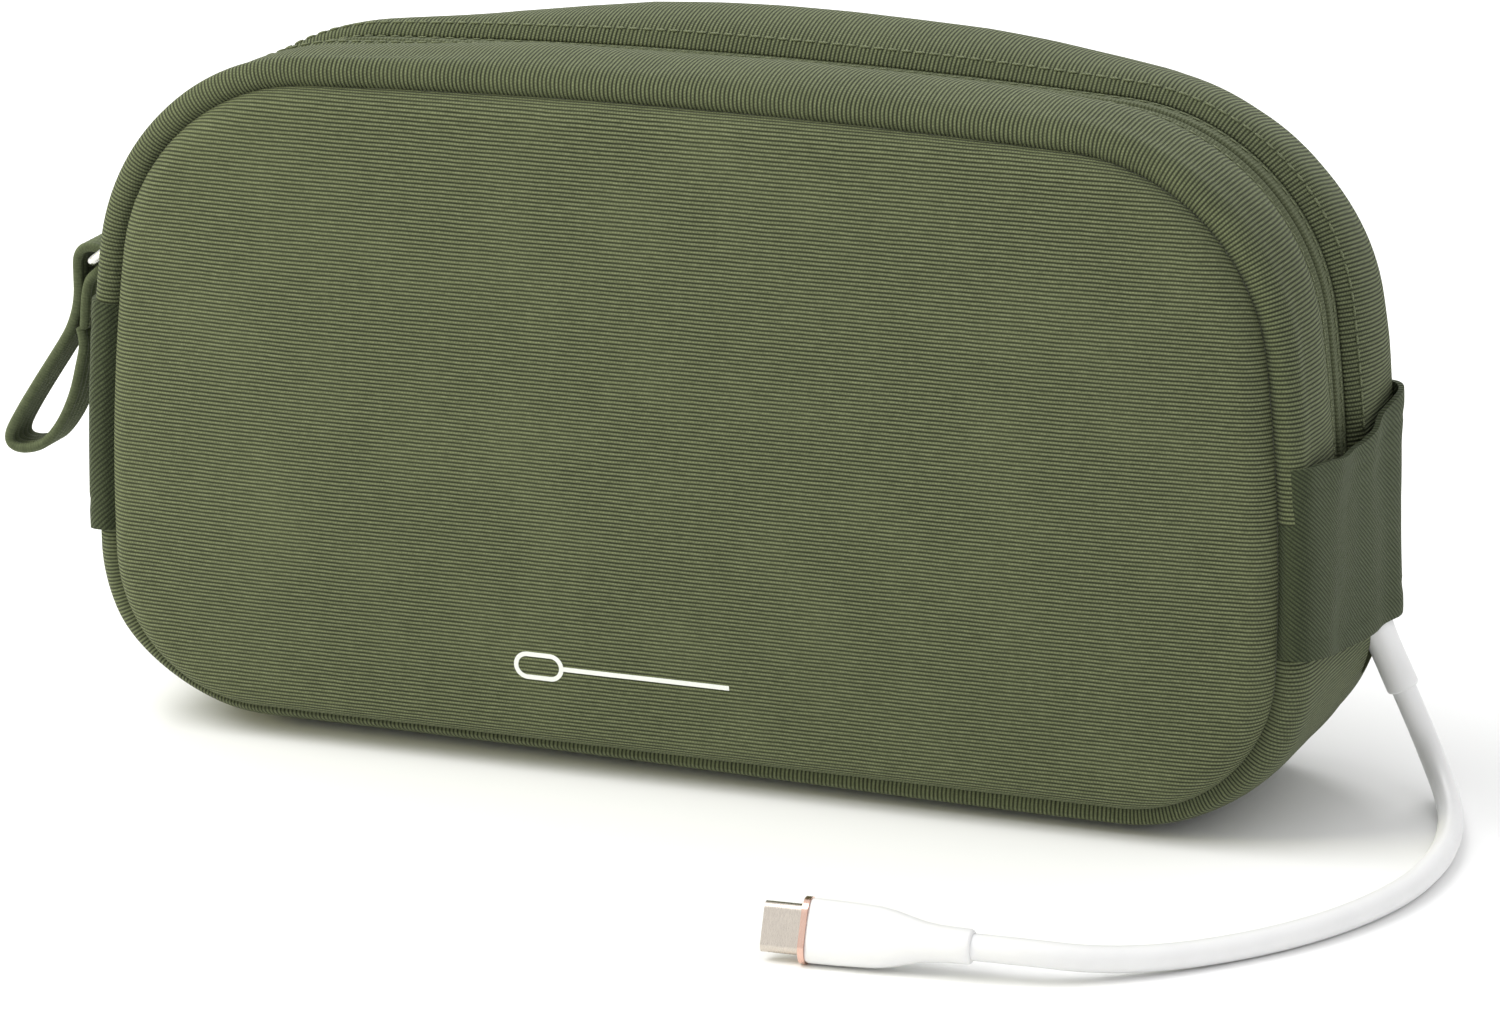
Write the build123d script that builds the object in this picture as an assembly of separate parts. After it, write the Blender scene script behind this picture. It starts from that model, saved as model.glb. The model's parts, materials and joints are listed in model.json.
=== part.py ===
"""Soft cable organizer pouch with a zipped mouth, side bands and a short USB-C lead.

Millimetres. X runs along the pouch, Y from the front panel (-) to the back panel (+), Z up.
The origin is the middle of the flat base that the pouch stands on.
"""
from build123d import *
import os
from math import atan2, cos, degrees, radians, sin, tan

os.makedirs("parts", exist_ok=True)

# ---- driving sizes of the pouch ---------------------------------------------------------
gusset_width = 223.0        # outer width of the gusset where it is widest
widest_height = 46.0        # height above the base where it is widest
base_narrowing = 2.5        # each side leans in by this much from there down to the base
top_narrowing = 9.0         # and by this much up to the shoulder
top_height = 124.5          # crown of the top strip above the base
top_crown = 4.0             # the shoulders lie this far below the crown
seam_depth = 54.0           # front panel seam to back panel seam, along Y
top_corner_radius = 42.0
base_corner_radius = 32.0
seam_inset = 5.0            # the panels' seam lies this far inside the gusset's outer face

# ---- layers of the padded cloth ---------------------------------------------------------
fabric_t = 0.9
gusset_foam_t = 1.5
lining_t = 0.6
panel_foam_t = 3.0
panel_edge_radius = 3.2
seam_gap = 0.2              # between the panel's turned edge and the gusset's turned edge

# ---- zip --------------------------------------------------------------------------------
channel_width = 13.0        # clear width between the two padded top strips
tape_t = 0.8
tape_width = 11.7
tape_gap = 1.6              # between the two tape edges, where the slider's post runs
coil_t = 1.2
coil_width = 2.0
zip_end_height = 58.0       # the top strips run down to here, under the side bands
strip_joint_gap = 0.3
stop_length = 3.0
stop_t = 0.5

# ---- side bands and base ----------------------------------------------------------------
band_bottom = 33.0
band_top = 67.0
band_gap = 1.0
band_t = 1.0
binding_width = 5.5
binding_t = 2.0

# ---- inside -----------------------------------------------------------------------------
pocket_width = 150.0
pocket_bottom = 14.0
pocket_height = 50.0
pocket_depth = 3.2
mesh_t = 0.6
pocket_binding_height = 8.0
pocket_binding_t = 0.7
loop_band_length = 150.0
loop_band_width = 25.0
loop_band_t = 1.2
loop_band_bottom = 56.0
loop_band_gap = 0.3
loop_tacks = 5

# ---- slider and pull --------------------------------------------------------------------
slider_length = 10.5
slider_width = 7.4
slider_plate_t = 1.1
slider_clearance = 0.9      # slider plate to tape, and slider plate to coil
post_t = 0.7
post_length = 3.0
bridge_length = 6.4
bridge_width = 2.6
ring_wire = 1.6
ring_hole_clearance = 0.3
ring_width = 13.6           # outside, along the two cross bars
ring_length = 14.6          # outside, from cross bar to cross bar
ring_corner = 1.5
ring_drop = 0.5             # the rest angle, as a share of a right angle below the slider's normal
webbing_width = 9.0
webbing_t = 1.5
webbing_bar_clearance = 0.3
slider_rise = 0.5           # degrees that the slider rests above the foot of the corner

# ---- mark -------------------------------------------------------------------------------
mark_length = 40.0
mark_loop_height = 5.0
mark_line = 0.8
mark_t = 0.15
mark_centre_x = -9.0
mark_centre_z = 20.0

# ---- USB-C lead -------------------------------------------------------------------------
cable_d = 4.4
# way of the lead from the inner plug's sleeve to the outer plug's sleeve: its X is
# measured from the gusset's widest side, where the lead comes out
cable_way = [
    (4.1, 18.7, 17.0),
    (7.1, 19.1, 10.4),
    (11.1, 14.8, 5.4),
    (15.7, 6.4, 2.7),
    (20.3, -7.0, 2.3),
    (23.3, -24.5, 2.3),
    (22.1, -45.0, 2.3),
    (13.7, -66.5, 2.3),
    (0.1, -84.0, 2.3),
    (-12.5, -95.0, 3.3),
    (-23.7, -100.8, 5.3),
    (-32.2, -101.4, 5.3),
]
run_share = 0.45            # each bend uses this share of its shorter run
sleeve_length = 27.0        # soft sleeve from the cable's end to the flange
sleeve_end_d = 6.3
flange_w = 10.9
flange_h = 5.9
flange_t = 1.0
shell_w = 8.25
shell_h = 2.5
shell_out = 6.65
shell_wall = 0.3
tongue_w = 6.2
tongue_t = 0.7
tongue_short = 1.0          # the tongue stops this far inside the shell's mouth
plug_roll = 115.0           # degrees that the outer plug is rolled from lying flat
inner_plug_roll = 0.0
port_width = 13.0           # slot for the sleeve in the gusset wall, along Y
port_bottom = 19.0
port_top = 44.0
port_patch_margin = 5.0
port_patch_t = 0.7

# ---- worked out once --------------------------------------------------------------------
mid_half_width = gusset_width / 2
base_half_width = mid_half_width - base_narrowing
cable_route = [(mid_half_width + x, y, z) for x, y, z in cable_way]
top_half_width = mid_half_width - top_narrowing
shoulder_height = top_height - top_crown
wall_t = fabric_t + gusset_foam_t + lining_t
half_depth = seam_depth / 2
half_channel = channel_width / 2
panel_rise = panel_foam_t + fabric_t
tape_edge = tape_gap / 2
tape_outer = tape_edge + tape_width
coil_inset = wall_t + tape_t
reach = 400.0               # larger than the pouch, for trimming boxes


def outer_outline():
    """Outer face of the gusset, looking along Y: bowed sides, crowned top, flat base."""
    foot = [(side * base_half_width, 0) for side in (-1, 1)]
    waist = [(side * mid_half_width, widest_height) for side in (-1, 1)]
    shoulder = [(side * top_half_width, shoulder_height) for side in (-1, 1)]
    edges = [
        Line(foot[0], foot[1]),
        ThreePointArc(foot[1], waist[1], shoulder[1]),
        ThreePointArc(shoulder[1], (0, top_height), shoulder[0]),
        ThreePointArc(shoulder[0], waist[0], foot[0]),
    ]
    face = make_face(Curve() + edges)
    face = fillet([v for v in face.vertices() if v.Y < 0.01], base_corner_radius)
    return fillet([v for v in face.vertices() if v.Y > shoulder_height - 0.01], top_corner_radius)


OUTLINE = outer_outline()


def outline(inset):
    """The pouch's outline, moved inwards by inset all round: every arc keeps its centre."""
    edges = []
    for edge in OUTLINE.edges():
        points = [edge @ share for share in (0, 0.5, 1)]
        if edge.geom_type == GeomType.LINE:
            edges.append(Line(points[0] + Vector(0, inset), points[2] + Vector(0, inset)))
        else:
            centre = edge.arc_center
            shrink = 1 - inset / edge.radius
            edges.append(ThreePointArc(*[centre + (p - centre) * shrink for p in points]))
    return make_face(edges)


def slab(profile, y_low, y_high):
    """A profile drawn in X and Z, as a solid from y_low to y_high."""
    return extrude(Plane.XZ.offset(-y_high) * profile, amount=y_high - y_low)


def ring(outer_inset, inner_inset, y_low, y_high):
    """A loop of cloth that follows the outline between two insets."""
    return slab(outline(outer_inset), y_low, y_high) - slab(
        outline(inner_inset), y_low - 1, y_high + 1
    )


def block(x_low, x_high, y_low, y_high, z_low, z_high):
    size = (x_high - x_low, y_high - y_low, z_high - z_low)
    middle = ((x_low + x_high) / 2, (y_low + y_high) / 2, (z_low + z_high) / 2)
    return Pos(*middle) * Box(*size)


def above(height):
    return block(-reach, reach, -reach, reach, height, reach)


def below(height):
    return block(-reach, reach, -reach, reach, -reach, height)


def to_back(shape):
    """The same piece on the other side of the middle plane, front to back."""
    return mirror(shape, about=Plane.XZ)


def save(name, shape):
    export_step(shape, f"parts/{name}.step")


# ---- panels -----------------------------------------------------------------------------
def front_panel():
    """A shallow dish of ribbed cloth, its edge turned back to the seam."""
    front_y = -half_depth - panel_rise
    dish = slab(outline(seam_inset + seam_gap), front_y, -half_depth)
    rim = dish.edges().filter_by_position(Axis.Y, front_y - 0.01, front_y + 0.01)
    dish = fillet(rim, panel_edge_radius)
    hollow = slab(outline(seam_inset + seam_gap + fabric_t), front_y + fabric_t, -half_depth)
    inner_rim = hollow.edges().filter_by_position(
        Axis.Y, front_y + fabric_t - 0.01, front_y + fabric_t + 0.01
    )
    return dish - fillet(inner_rim, panel_edge_radius - fabric_t)


def front_foam():
    front_y = -half_depth - panel_foam_t
    pad = slab(outline(seam_inset + seam_gap + fabric_t), front_y, -half_depth)
    rim = pad.edges().filter_by_position(Axis.Y, front_y - 0.01, front_y + 0.01)
    return fillet(rim, panel_edge_radius - fabric_t)


def front_lining():
    return slab(outline(seam_inset + seam_gap), -half_depth, -half_depth + lining_t)


def front_seam_binding():
    y_low = -half_depth + lining_t
    return ring(seam_inset + seam_gap, seam_inset + binding_width, y_low, y_low + binding_t)


# ---- gusset -----------------------------------------------------------------------------
def front_top_strip():
    """Padded strip over the mouth: turned in at the panel seam and down at the zip."""
    face = ring(0, fabric_t, -half_depth, -half_channel)
    seam_turn = ring(fabric_t, seam_inset, -half_depth, -half_depth + fabric_t)
    zip_turn = ring(fabric_t, wall_t - lining_t, -half_channel - fabric_t, -half_channel)
    return (face + seam_turn + zip_turn) & above(zip_end_height)


def front_strip_foam():
    y_low = -half_depth + fabric_t
    pad = ring(fabric_t, wall_t - lining_t, y_low, -half_channel - fabric_t)
    return pad & above(zip_end_height)


def front_strip_lining():
    y_low = -half_depth + fabric_t
    return ring(wall_t - lining_t, wall_t, y_low, -half_channel) & above(zip_end_height)


def front_zip_tape():
    return ring(wall_t, coil_inset, -tape_outer, -tape_edge) & above(zip_end_height)


def front_zip_coil():
    coil = ring(coil_inset, coil_inset + coil_t, -tape_edge - coil_width, -tape_edge)
    return coil & above(zip_end_height + stop_length)


def front_zip_stops():
    """A clip at each end of the coil."""
    clip = ring(coil_inset, coil_inset + coil_t + stop_t, -tape_edge - coil_width, -tape_edge)
    return clip & above(zip_end_height) & below(zip_end_height + stop_length)


def port_middle_y():
    """The slot is centred on the middle of the inner plug's sleeve."""
    run = Vector(*cable_route[0]) - Vector(*cable_route[1])
    return cable_route[0][1] + run.normalized().Y * sleeve_length / 2


def port_slot():
    """The way through the right-hand wall for the lead's sleeve."""
    middle_y = port_middle_y()
    return block(
        mid_half_width / 2,
        reach,
        middle_y - port_width / 2,
        middle_y + port_width / 2,
        port_bottom,
        port_top,
    )


def bottom_gusset():
    face = ring(0, fabric_t, -half_depth, half_depth)
    front_turn = ring(fabric_t, seam_inset, -half_depth, -half_depth + fabric_t)
    loop = face + front_turn + to_back(front_turn)
    return (loop & below(zip_end_height - strip_joint_gap)) - port_slot()


def bottom_gusset_foam():
    y_high = half_depth - fabric_t
    pad = ring(fabric_t, wall_t - lining_t, -y_high, y_high)
    return (pad & below(zip_end_height - strip_joint_gap)) - port_slot()


def bottom_gusset_lining():
    y_high = half_depth - fabric_t
    skin = ring(wall_t - lining_t, wall_t, -y_high, y_high)
    return (skin & below(zip_end_height - strip_joint_gap)) - port_slot()


def side_band(side):
    band = ring(-band_gap - band_t, -band_gap, -half_depth, half_depth)
    band = band & above(band_bottom) & below(band_top)
    reach_x = side * reach
    return band & block(min(0, reach_x), max(0, reach_x), -reach, reach, 0, reach)


def cable_port_patch():
    """A bound facing on the inside of the wall, round the slot."""
    middle_y = port_middle_y()
    y_low = middle_y - port_width / 2 - port_patch_margin
    y_high = min(
        middle_y + port_width / 2 + port_patch_margin,
        half_depth - lining_t - binding_t - seam_gap,
    )
    patch = ring(wall_t, wall_t + port_patch_t, y_low, y_high)
    window = block(0, reach, -reach, reach, port_bottom, port_top + port_patch_margin)
    return (patch & window) - port_slot()


# ---- inside -----------------------------------------------------------------------------
def mesh_pocket():
    """Flat pocket on the front lining, open at its top."""
    y_low = -half_depth + lining_t
    half = pocket_width / 2
    pocket_top = pocket_bottom + pocket_height
    body = block(-half, half, y_low, y_low + pocket_depth + mesh_t, pocket_bottom, pocket_top)
    hollow = block(
        -half + mesh_t,
        half - mesh_t,
        y_low,
        y_low + pocket_depth,
        pocket_bottom + mesh_t,
        pocket_top + 1,
    )
    return body - hollow


def mesh_pocket_binding():
    y_low = -half_depth + lining_t + pocket_depth + mesh_t
    top = pocket_bottom + pocket_height
    half = pocket_width / 2
    return block(-half, half, y_low, y_low + pocket_binding_t, top - pocket_binding_height, top)


def elastic_loop_band():
    """Elastic on the back lining, tacked at even steps, which lies flat while it is empty."""
    face_y = half_depth - lining_t - loop_band_gap
    half = loop_band_length / 2
    top = loop_band_bottom + loop_band_width
    band = block(-half, half, face_y - loop_band_t, face_y, loop_band_bottom, top)
    step = (loop_band_length - loop_band_width / 4) / (loop_tacks - 1)
    for i in range(loop_tacks):
        x_low = -half + i * step
        band += block(
            x_low,
            x_low + loop_band_width / 4,
            face_y,
            half_depth - lining_t,
            loop_band_bottom,
            top,
        )
    return band


# ---- slider and pull --------------------------------------------------------------------
def corner_arc():
    """Centre of the upper left corner, and the angle of the arc's lower end, in degrees."""
    arcs = OUTLINE.edges().filter_by(GeomType.CIRCLE)
    corner = [e for e in arcs if abs(e.radius - top_corner_radius) < 0.01 and e.center().X < 0]
    centre = corner[0].arc_center
    ends = [corner[0] @ 0, corner[0] @ 1]
    # the outline is drawn flat in X and Y, and its Y is the pouch's Z
    foot = min(ends, key=lambda p: p.Y)
    return centre.X, centre.Y, degrees(atan2(foot.Y - centre.Y, foot.X - centre.X)) % 360


CORNER_X, CORNER_Z, FOOT_ANGLE = corner_arc()
tape_radius = top_corner_radius - wall_t
plate_low = tape_radius + slider_clearance
plate_high = plate_low + slider_plate_t
inner_plate_high = tape_radius - tape_t - coil_t - slider_clearance / 2
inner_plate_low = inner_plate_high - slider_plate_t
pivot_radius = max(top_corner_radius + 0.6, plate_high + 1.0) + ring_wire / 2
pivot_back = -slider_length / 5
rest_angle = FOOT_ANGLE - slider_rise


def on_track(shape):
    """Places a piece drawn with X as the corner's radius and Z up the zip."""
    return Pos(CORNER_X, 0, CORNER_Z) * (Rot(0, -rest_angle, 0) * mirror(shape, about=Plane.XY))


def track_point(radius, along):
    """A place on the slider, as (X, Z) of the pouch."""
    angle = radians(rest_angle)
    x = CORNER_X + radius * cos(angle) + along * sin(angle)
    z = CORNER_Z + radius * sin(angle) - along * cos(angle)
    return x, z


def curved_plate(r_low, r_high):
    tube = Cylinder(r_high, slider_width, rotation=(90, 0, 0)) - Cylinder(
        r_low, slider_width + 1, rotation=(90, 0, 0)
    )
    half = slider_length / 2
    plate = tube & block(0, r_high + 1, -slider_width, slider_width, -half, half)
    return fillet(plate.edges().filter_by(Axis.X), slider_width / 5)


def slider_body():
    """Two curved plates, one each side of the tapes, joined by the post that parts the coils."""
    post = block(
        inner_plate_high - slider_plate_t / 2,
        plate_low + slider_plate_t / 2,
        -post_t / 2,
        post_t / 2,
        slider_length / 2 - post_length - 1,
        slider_length / 2 - 1,
    )
    return on_track(
        curved_plate(plate_low, plate_high) + curved_plate(inner_plate_low, inner_plate_high) + post
    )


def slider_bridge():
    """The arch that holds the pull ring."""
    top = pivot_radius + ring_wire / 2 + ring_hole_clearance + 1.0
    half = bridge_length / 2
    arch = block(
        plate_high, top, -bridge_width / 2, bridge_width / 2, pivot_back - half, pivot_back + half
    )
    arch = fillet(
        arch.edges().filter_by(Axis.Y).filter_by_position(Axis.X, top - 0.01, top + 0.01),
        (top - plate_high) / 2,
    )
    hole = Cylinder(
        ring_wire / 2 + ring_hole_clearance, bridge_width + 1, rotation=(90, 0, 0)
    )
    return on_track(arch - Pos(pivot_radius, 0, pivot_back) * hole)


PIVOT_X, PIVOT_Z = track_point(pivot_radius, pivot_back)
bar_spacing = ring_length - ring_wire
ring_direction = radians(rest_angle + 90 * ring_drop)
BAR_X = PIVOT_X + bar_spacing * cos(ring_direction)
BAR_Z = PIVOT_Z + bar_spacing * sin(ring_direction)


def pull_ring():
    """Oblong wire ring: one cross bar in the bridge, the other in the webbing."""
    centre = Vector((PIVOT_X + BAR_X) / 2, 0, (PIVOT_Z + BAR_Z) / 2)
    along = Vector(BAR_X - PIVOT_X, 0, BAR_Z - PIVOT_Z)
    frame = Plane(origin=centre, x_dir=along, z_dir=along.cross(Vector(0, 1, 0)))
    path = RectangleRounded(bar_spacing, ring_width - ring_wire, ring_corner).wire()
    path = frame * path
    section = Plane(origin=path @ 0, z_dir=path % 0) * Circle(ring_wire / 2)
    return sweep(section, path=path)


def pull_webbing():
    """Doubled webbing round the ring's outer bar, opening into a drop-shaped finger loop.

    Its outline is drawn from the bar's centre, in X and Z.
    """
    leg = webbing_t
    eye = ring_wire / 2 + webbing_bar_clearance
    outer = [
        (-eye - leg, 0.4),
        (-eye - leg - 0.7, -7.0),
        (-9.0, -18.5),
        (-15.5, -28.0),
        (-19.2, -33.8),
        (-17.0, -37.2),
        (-12.0, -37.0),
        (-7.0, -33.5),
        (-2.6, -25.5),
        (-0.2, -15.0),
        (eye + leg - 0.6, -6.0),
        (eye + leg, 0.4),
        (0.0, eye + leg + 0.2),
    ]
    inner = [
        (-2.3, -12.5),
        (-5.6, -18.5),
        (-11.0, -27.0),
        (-15.9, -33.6),
        (-13.6, -35.2),
        (-9.2, -33.0),
        (-4.6, -26.0),
        (-2.2, -17.5),
    ]
    skin = make_face(Spline(*outer, periodic=True))
    gap = make_face(Spline(*inner, periodic=True))
    profile = Pos(BAR_X, BAR_Z) * (skin - gap - Circle(eye))
    return slab(profile, -webbing_width / 2, webbing_width / 2)


# ---- mark -------------------------------------------------------------------------------
def printed_mark():
    """Plain printed line that ends in a small open loop."""
    loop = SlotOverall(mark_loop_height * 2, mark_loop_height) - SlotOverall(
        mark_loop_height * 2 - 2 * mark_line, mark_loop_height - 2 * mark_line
    )
    line_length = mark_length - 2 * mark_loop_height
    line = Rectangle(line_length + mark_line, mark_line)
    shape = Pos(-mark_length / 2 + mark_loop_height, 0) * loop
    shape += Pos(-mark_length / 2 + 2 * mark_loop_height + line_length / 2 - mark_line / 2, 0) * line
    face_y = -half_depth - panel_rise
    return slab(Pos(mark_centre_x, mark_centre_z) * shape, face_y - mark_t, face_y)


# ---- lead -------------------------------------------------------------------------------
def bend_radii(points):
    """Radius at each inner point: run_share of the shorter run, over tan of half the turn."""
    radii = []
    for a, b, c in zip(points, points[1:], points[2:]):
        before = Vector(*b) - Vector(*a)
        after = Vector(*c) - Vector(*b)
        half_turn = radians(before.get_angle(after)) / 2
        radii.append(run_share * min(before.length, after.length) / tan(half_turn))
    return radii


def cable():
    radii = bend_radii(cable_route)
    path = FilletPolyline(*cable_route, radius=radii)
    section = Plane(origin=path @ 0, z_dir=path % 0) * Circle(cable_d / 2)
    tube = sweep(section, path=path)
    print("cable bends, mm:", [round(r, 1) for r in radii])
    print("cable length, mm:", round(path.length, 1))
    print("tube volume over section x length:", round(tube.volume / section.area / path.length, 4))
    return tube


def plug_frame(end, inside, roll):
    """Plane at a cable end, its Z pointing from the cable into the plug, rolled about Z."""
    axis = Vector(*end) - Vector(*inside)
    level = Vector(0, 0, 1).cross(axis)
    wide = level.rotate(Axis((0, 0, 0), axis), roll)
    return Plane(origin=Vector(*end), x_dir=wide, z_dir=axis)


def plug_sleeve(frame):
    """Soft sleeve: round where the cable enters it, an oval at the flange."""
    stations = [
        (0.0, sleeve_end_d, sleeve_end_d),
        (sleeve_length * 0.30, sleeve_end_d + 0.2, sleeve_end_d - 0.1),
        (sleeve_length * 0.55, flange_w - 1.6, flange_h - 0.1),
        (sleeve_length, flange_w - 0.4, flange_h - 0.2),
    ]
    sections = []
    for along, width, height in stations:
        sections.append(frame.offset(along) * Ellipse(width / 2, height / 2))
    return loft(sections)


def stadium(width, height):
    return SlotOverall(width, height)


def plug_flange(frame):
    return extrude(frame.offset(sleeve_length) * stadium(flange_w, flange_h), amount=flange_t)


def plug_shell(frame):
    base = frame.offset(sleeve_length + flange_t)
    skin = stadium(shell_w, shell_h) - stadium(shell_w - 2 * shell_wall, shell_h - 2 * shell_wall)
    return extrude(base * skin, amount=shell_out)


def plug_tongue(frame):
    base = frame.offset(sleeve_length + flange_t)
    return extrude(base * Rectangle(tongue_w, tongue_t), amount=shell_out - tongue_short)


def plug(prefix, frame):
    save(f"{prefix}_sleeve", plug_sleeve(frame))
    save(f"{prefix}_flange", plug_flange(frame))
    save(f"{prefix}_shell", plug_shell(frame))
    save(f"{prefix}_tongue", plug_tongue(frame))


# ---- write every piece ------------------------------------------------------------------
for piece in (front_panel, front_foam, front_lining, front_seam_binding):
    shape = piece()
    save(piece.__name__, shape)
    save(piece.__name__.replace("front_", "back_"), to_back(shape))
for piece in (front_top_strip, front_strip_foam, front_strip_lining):
    shape = piece()
    save(piece.__name__, shape)
    save(piece.__name__.replace("front_", "back_"), to_back(shape))
for piece in (front_zip_tape, front_zip_coil, front_zip_stops):
    shape = piece()
    save(piece.__name__, shape)
    save(piece.__name__.replace("front_", "back_"), to_back(shape))
for piece in (bottom_gusset, bottom_gusset_foam, bottom_gusset_lining, cable_port_patch):
    save(piece.__name__, piece())
save("left_side_band", side_band(-1))
save("right_side_band", side_band(1))
for piece in (mesh_pocket, mesh_pocket_binding, elastic_loop_band, printed_mark):
    save(piece.__name__, piece())
for piece in (slider_body, slider_bridge, pull_ring, pull_webbing):
    save(piece.__name__, piece())
save("cable_jacket", cable())
plug("outer_plug", plug_frame(cable_route[-1], cable_route[-2], plug_roll))
plug("inner_plug", plug_frame(cable_route[0], cable_route[1], inner_plug_roll))

print("corner centre, mm:", round(CORNER_X, 3), round(CORNER_Z, 3), "foot angle", round(FOOT_ANGLE, 2))
print("slider rest angle:", round(rest_angle, 2))
print("ring pivot, mm:", round(PIVOT_X, 3), round(PIVOT_Z, 3))
print("webbing bar, mm:", round(BAR_X, 3), round(BAR_Z, 3))
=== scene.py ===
# %% [markdown]
# # A soft cable pouch
# The pouch is sewn from ribbed cloth over thin foam: two crowned panels, a gusset between them
# with a zip over the top, and a band across each end. This lesson builds every sewn piece round
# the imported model, which gives the places and the moving bodies. Lengths in the lists are
# millimetres.

import bpy
import json
import math
import numpy as np
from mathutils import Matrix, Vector, noise


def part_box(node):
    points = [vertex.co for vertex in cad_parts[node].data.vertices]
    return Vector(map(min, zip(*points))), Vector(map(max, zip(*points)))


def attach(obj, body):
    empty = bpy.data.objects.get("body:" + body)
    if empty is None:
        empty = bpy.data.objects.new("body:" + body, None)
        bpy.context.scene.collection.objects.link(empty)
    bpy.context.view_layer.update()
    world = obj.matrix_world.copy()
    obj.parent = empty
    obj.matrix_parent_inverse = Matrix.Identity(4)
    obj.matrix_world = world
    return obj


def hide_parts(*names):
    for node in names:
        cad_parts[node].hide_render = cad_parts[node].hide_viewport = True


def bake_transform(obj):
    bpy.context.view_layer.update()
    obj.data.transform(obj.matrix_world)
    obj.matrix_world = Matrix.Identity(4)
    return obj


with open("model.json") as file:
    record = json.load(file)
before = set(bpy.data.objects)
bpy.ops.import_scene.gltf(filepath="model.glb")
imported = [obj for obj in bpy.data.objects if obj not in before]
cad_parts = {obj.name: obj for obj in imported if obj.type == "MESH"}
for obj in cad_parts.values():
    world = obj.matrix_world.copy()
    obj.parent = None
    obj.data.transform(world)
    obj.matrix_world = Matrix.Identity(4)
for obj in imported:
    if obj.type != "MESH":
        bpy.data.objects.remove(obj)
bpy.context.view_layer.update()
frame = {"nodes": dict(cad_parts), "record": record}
nodes = frame["nodes"]
bpy.ops.object.select_all(action="DESELECT")
MM = 0.001

# %% [markdown]
# ## The camera
# A long lens from a little above and to the right keeps the pouch's edges almost parallel, as a
# product shot does. It is made first, so that every later step can be looked at through it.

# %% Camera
AIM = Vector((0, 0, 0.057))
AZIMUTH, ELEVATION, DISTANCE = math.radians(21.0), math.radians(15.5), 1.25
camera_data = bpy.data.cameras.new("camera")
camera = bpy.data.objects.new("camera", camera_data)
bpy.context.scene.collection.objects.link(camera)
camera.location = AIM + DISTANCE * Vector(
    (
        math.sin(AZIMUTH) * math.cos(ELEVATION),
        -math.cos(AZIMUTH) * math.cos(ELEVATION),
        math.sin(ELEVATION),
    )
)
camera.rotation_euler = (AIM - camera.location).to_track_quat("-Z", "Y").to_euler()
camera_data.lens = 173.1
camera_data.sensor_width = 36
camera_data.shift_x = 0.0095
camera_data.shift_y = -0.0553
camera_data.clip_end = 50
bpy.context.scene.camera = camera
print("camera at", [round(c, 3) for c in camera.location])

# %% [markdown]
# ## Small tools
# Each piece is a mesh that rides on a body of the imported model. A helper gives a piece its
# name, body, material slot and material, so that no step is forgotten.

# %% Helpers for pieces
paints = {}


def lone_select(obj):
    bpy.ops.object.select_all(action="DESELECT")
    obj.select_set(True)
    bpy.context.view_layer.objects.active = obj


def edit(obj):
    """Edit mode on one object, with nothing selected."""
    lone_select(obj)
    bpy.ops.object.mode_set(mode="EDIT")
    bpy.ops.mesh.select_mode(type="VERT")
    bpy.ops.mesh.select_all(action="DESELECT")


def leave_edit():
    bpy.ops.object.mode_set(mode="OBJECT")


def whole(obj, step, **settings):
    """Runs one edit mode operator on all of a mesh."""
    edit(obj)
    bpy.ops.mesh.select_all(action="SELECT")
    step(**settings)
    leave_edit()


def modify(obj, kind, **settings):
    """Adds a modifier, sets it and applies it."""
    lone_select(obj)
    modifier = obj.modifiers.new(kind.lower(), kind)
    for key, value in settings.items():
        setattr(modifier, key, value)
    bpy.ops.object.modifier_apply(modifier=modifier.name)


def smooth(obj, angle=40):
    lone_select(obj)
    bpy.ops.object.shade_smooth_by_angle(angle=math.radians(angle))


def settle(obj):
    """Moves the object's place into its mesh."""
    lone_select(obj)
    bpy.ops.object.transform_apply(location=True, rotation=True, scale=True)


def set_points(obj, points):
    obj.data.vertices.foreach_set("co", np.asarray(points, float).ravel())
    obj.data.update()


def get_points(obj):
    flat = np.empty(len(obj.data.vertices) * 3)
    obj.data.vertices.foreach_get("co", flat)
    return flat.reshape(-1, 3)


def join(parts):
    """Makes one mesh object of several."""
    bpy.ops.object.select_all(action="DESELECT")
    for part in parts:
        part.select_set(True)
    bpy.context.view_layer.objects.active = parts[0]
    bpy.ops.object.join()
    return bpy.context.object


def dress(obj, name, slot, body=None, replaces=()):
    """Names a piece, gives it its material and sets it on its body."""
    obj.name = name
    obj.data.name = name
    obj.data.materials.clear()
    obj.data.materials.append(paints[slot])
    if replaces:
        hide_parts(*replaces)
    if body:
        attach(obj, body)
    print(name, len(obj.data.polygons), "faces")
    return obj


# %% [markdown]
# ## Cloth as a grid
# Sewn cloth starts flat, so each piece of it starts as a plane grid. The grid's points are then
# moved to their places, and their places on the flat cloth are kept as a UV map, so that the
# weave turns and bends with the piece.


# %% Helpers for cloth
def grid(name, wide, tall):
    """A flat grid, with the column and the row of each of its points."""
    bpy.ops.object.select_all(action="DESELECT")
    bpy.ops.mesh.primitive_grid_add(x_subdivisions=wide, y_subdivisions=tall, size=2)
    obj = bpy.context.object
    obj.name = name
    flat = get_points(obj)
    columns = np.rint((flat[:, 0] + 1) / 2 * wide).astype(int)
    rows = np.rint((flat[:, 1] + 1) / 2 * tall).astype(int)
    return obj, columns, rows


def map_cloth(obj, spots):
    """Writes each point's place on the flat cloth, in metres, to the UV map named cut."""
    layer = obj.data.uv_layers.active or obj.data.uv_layers.new(name="cut")
    layer.name = "cut"
    for loop in obj.data.loops:
        layer.data[loop.index].uv = spots[loop.vertex_index]


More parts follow.
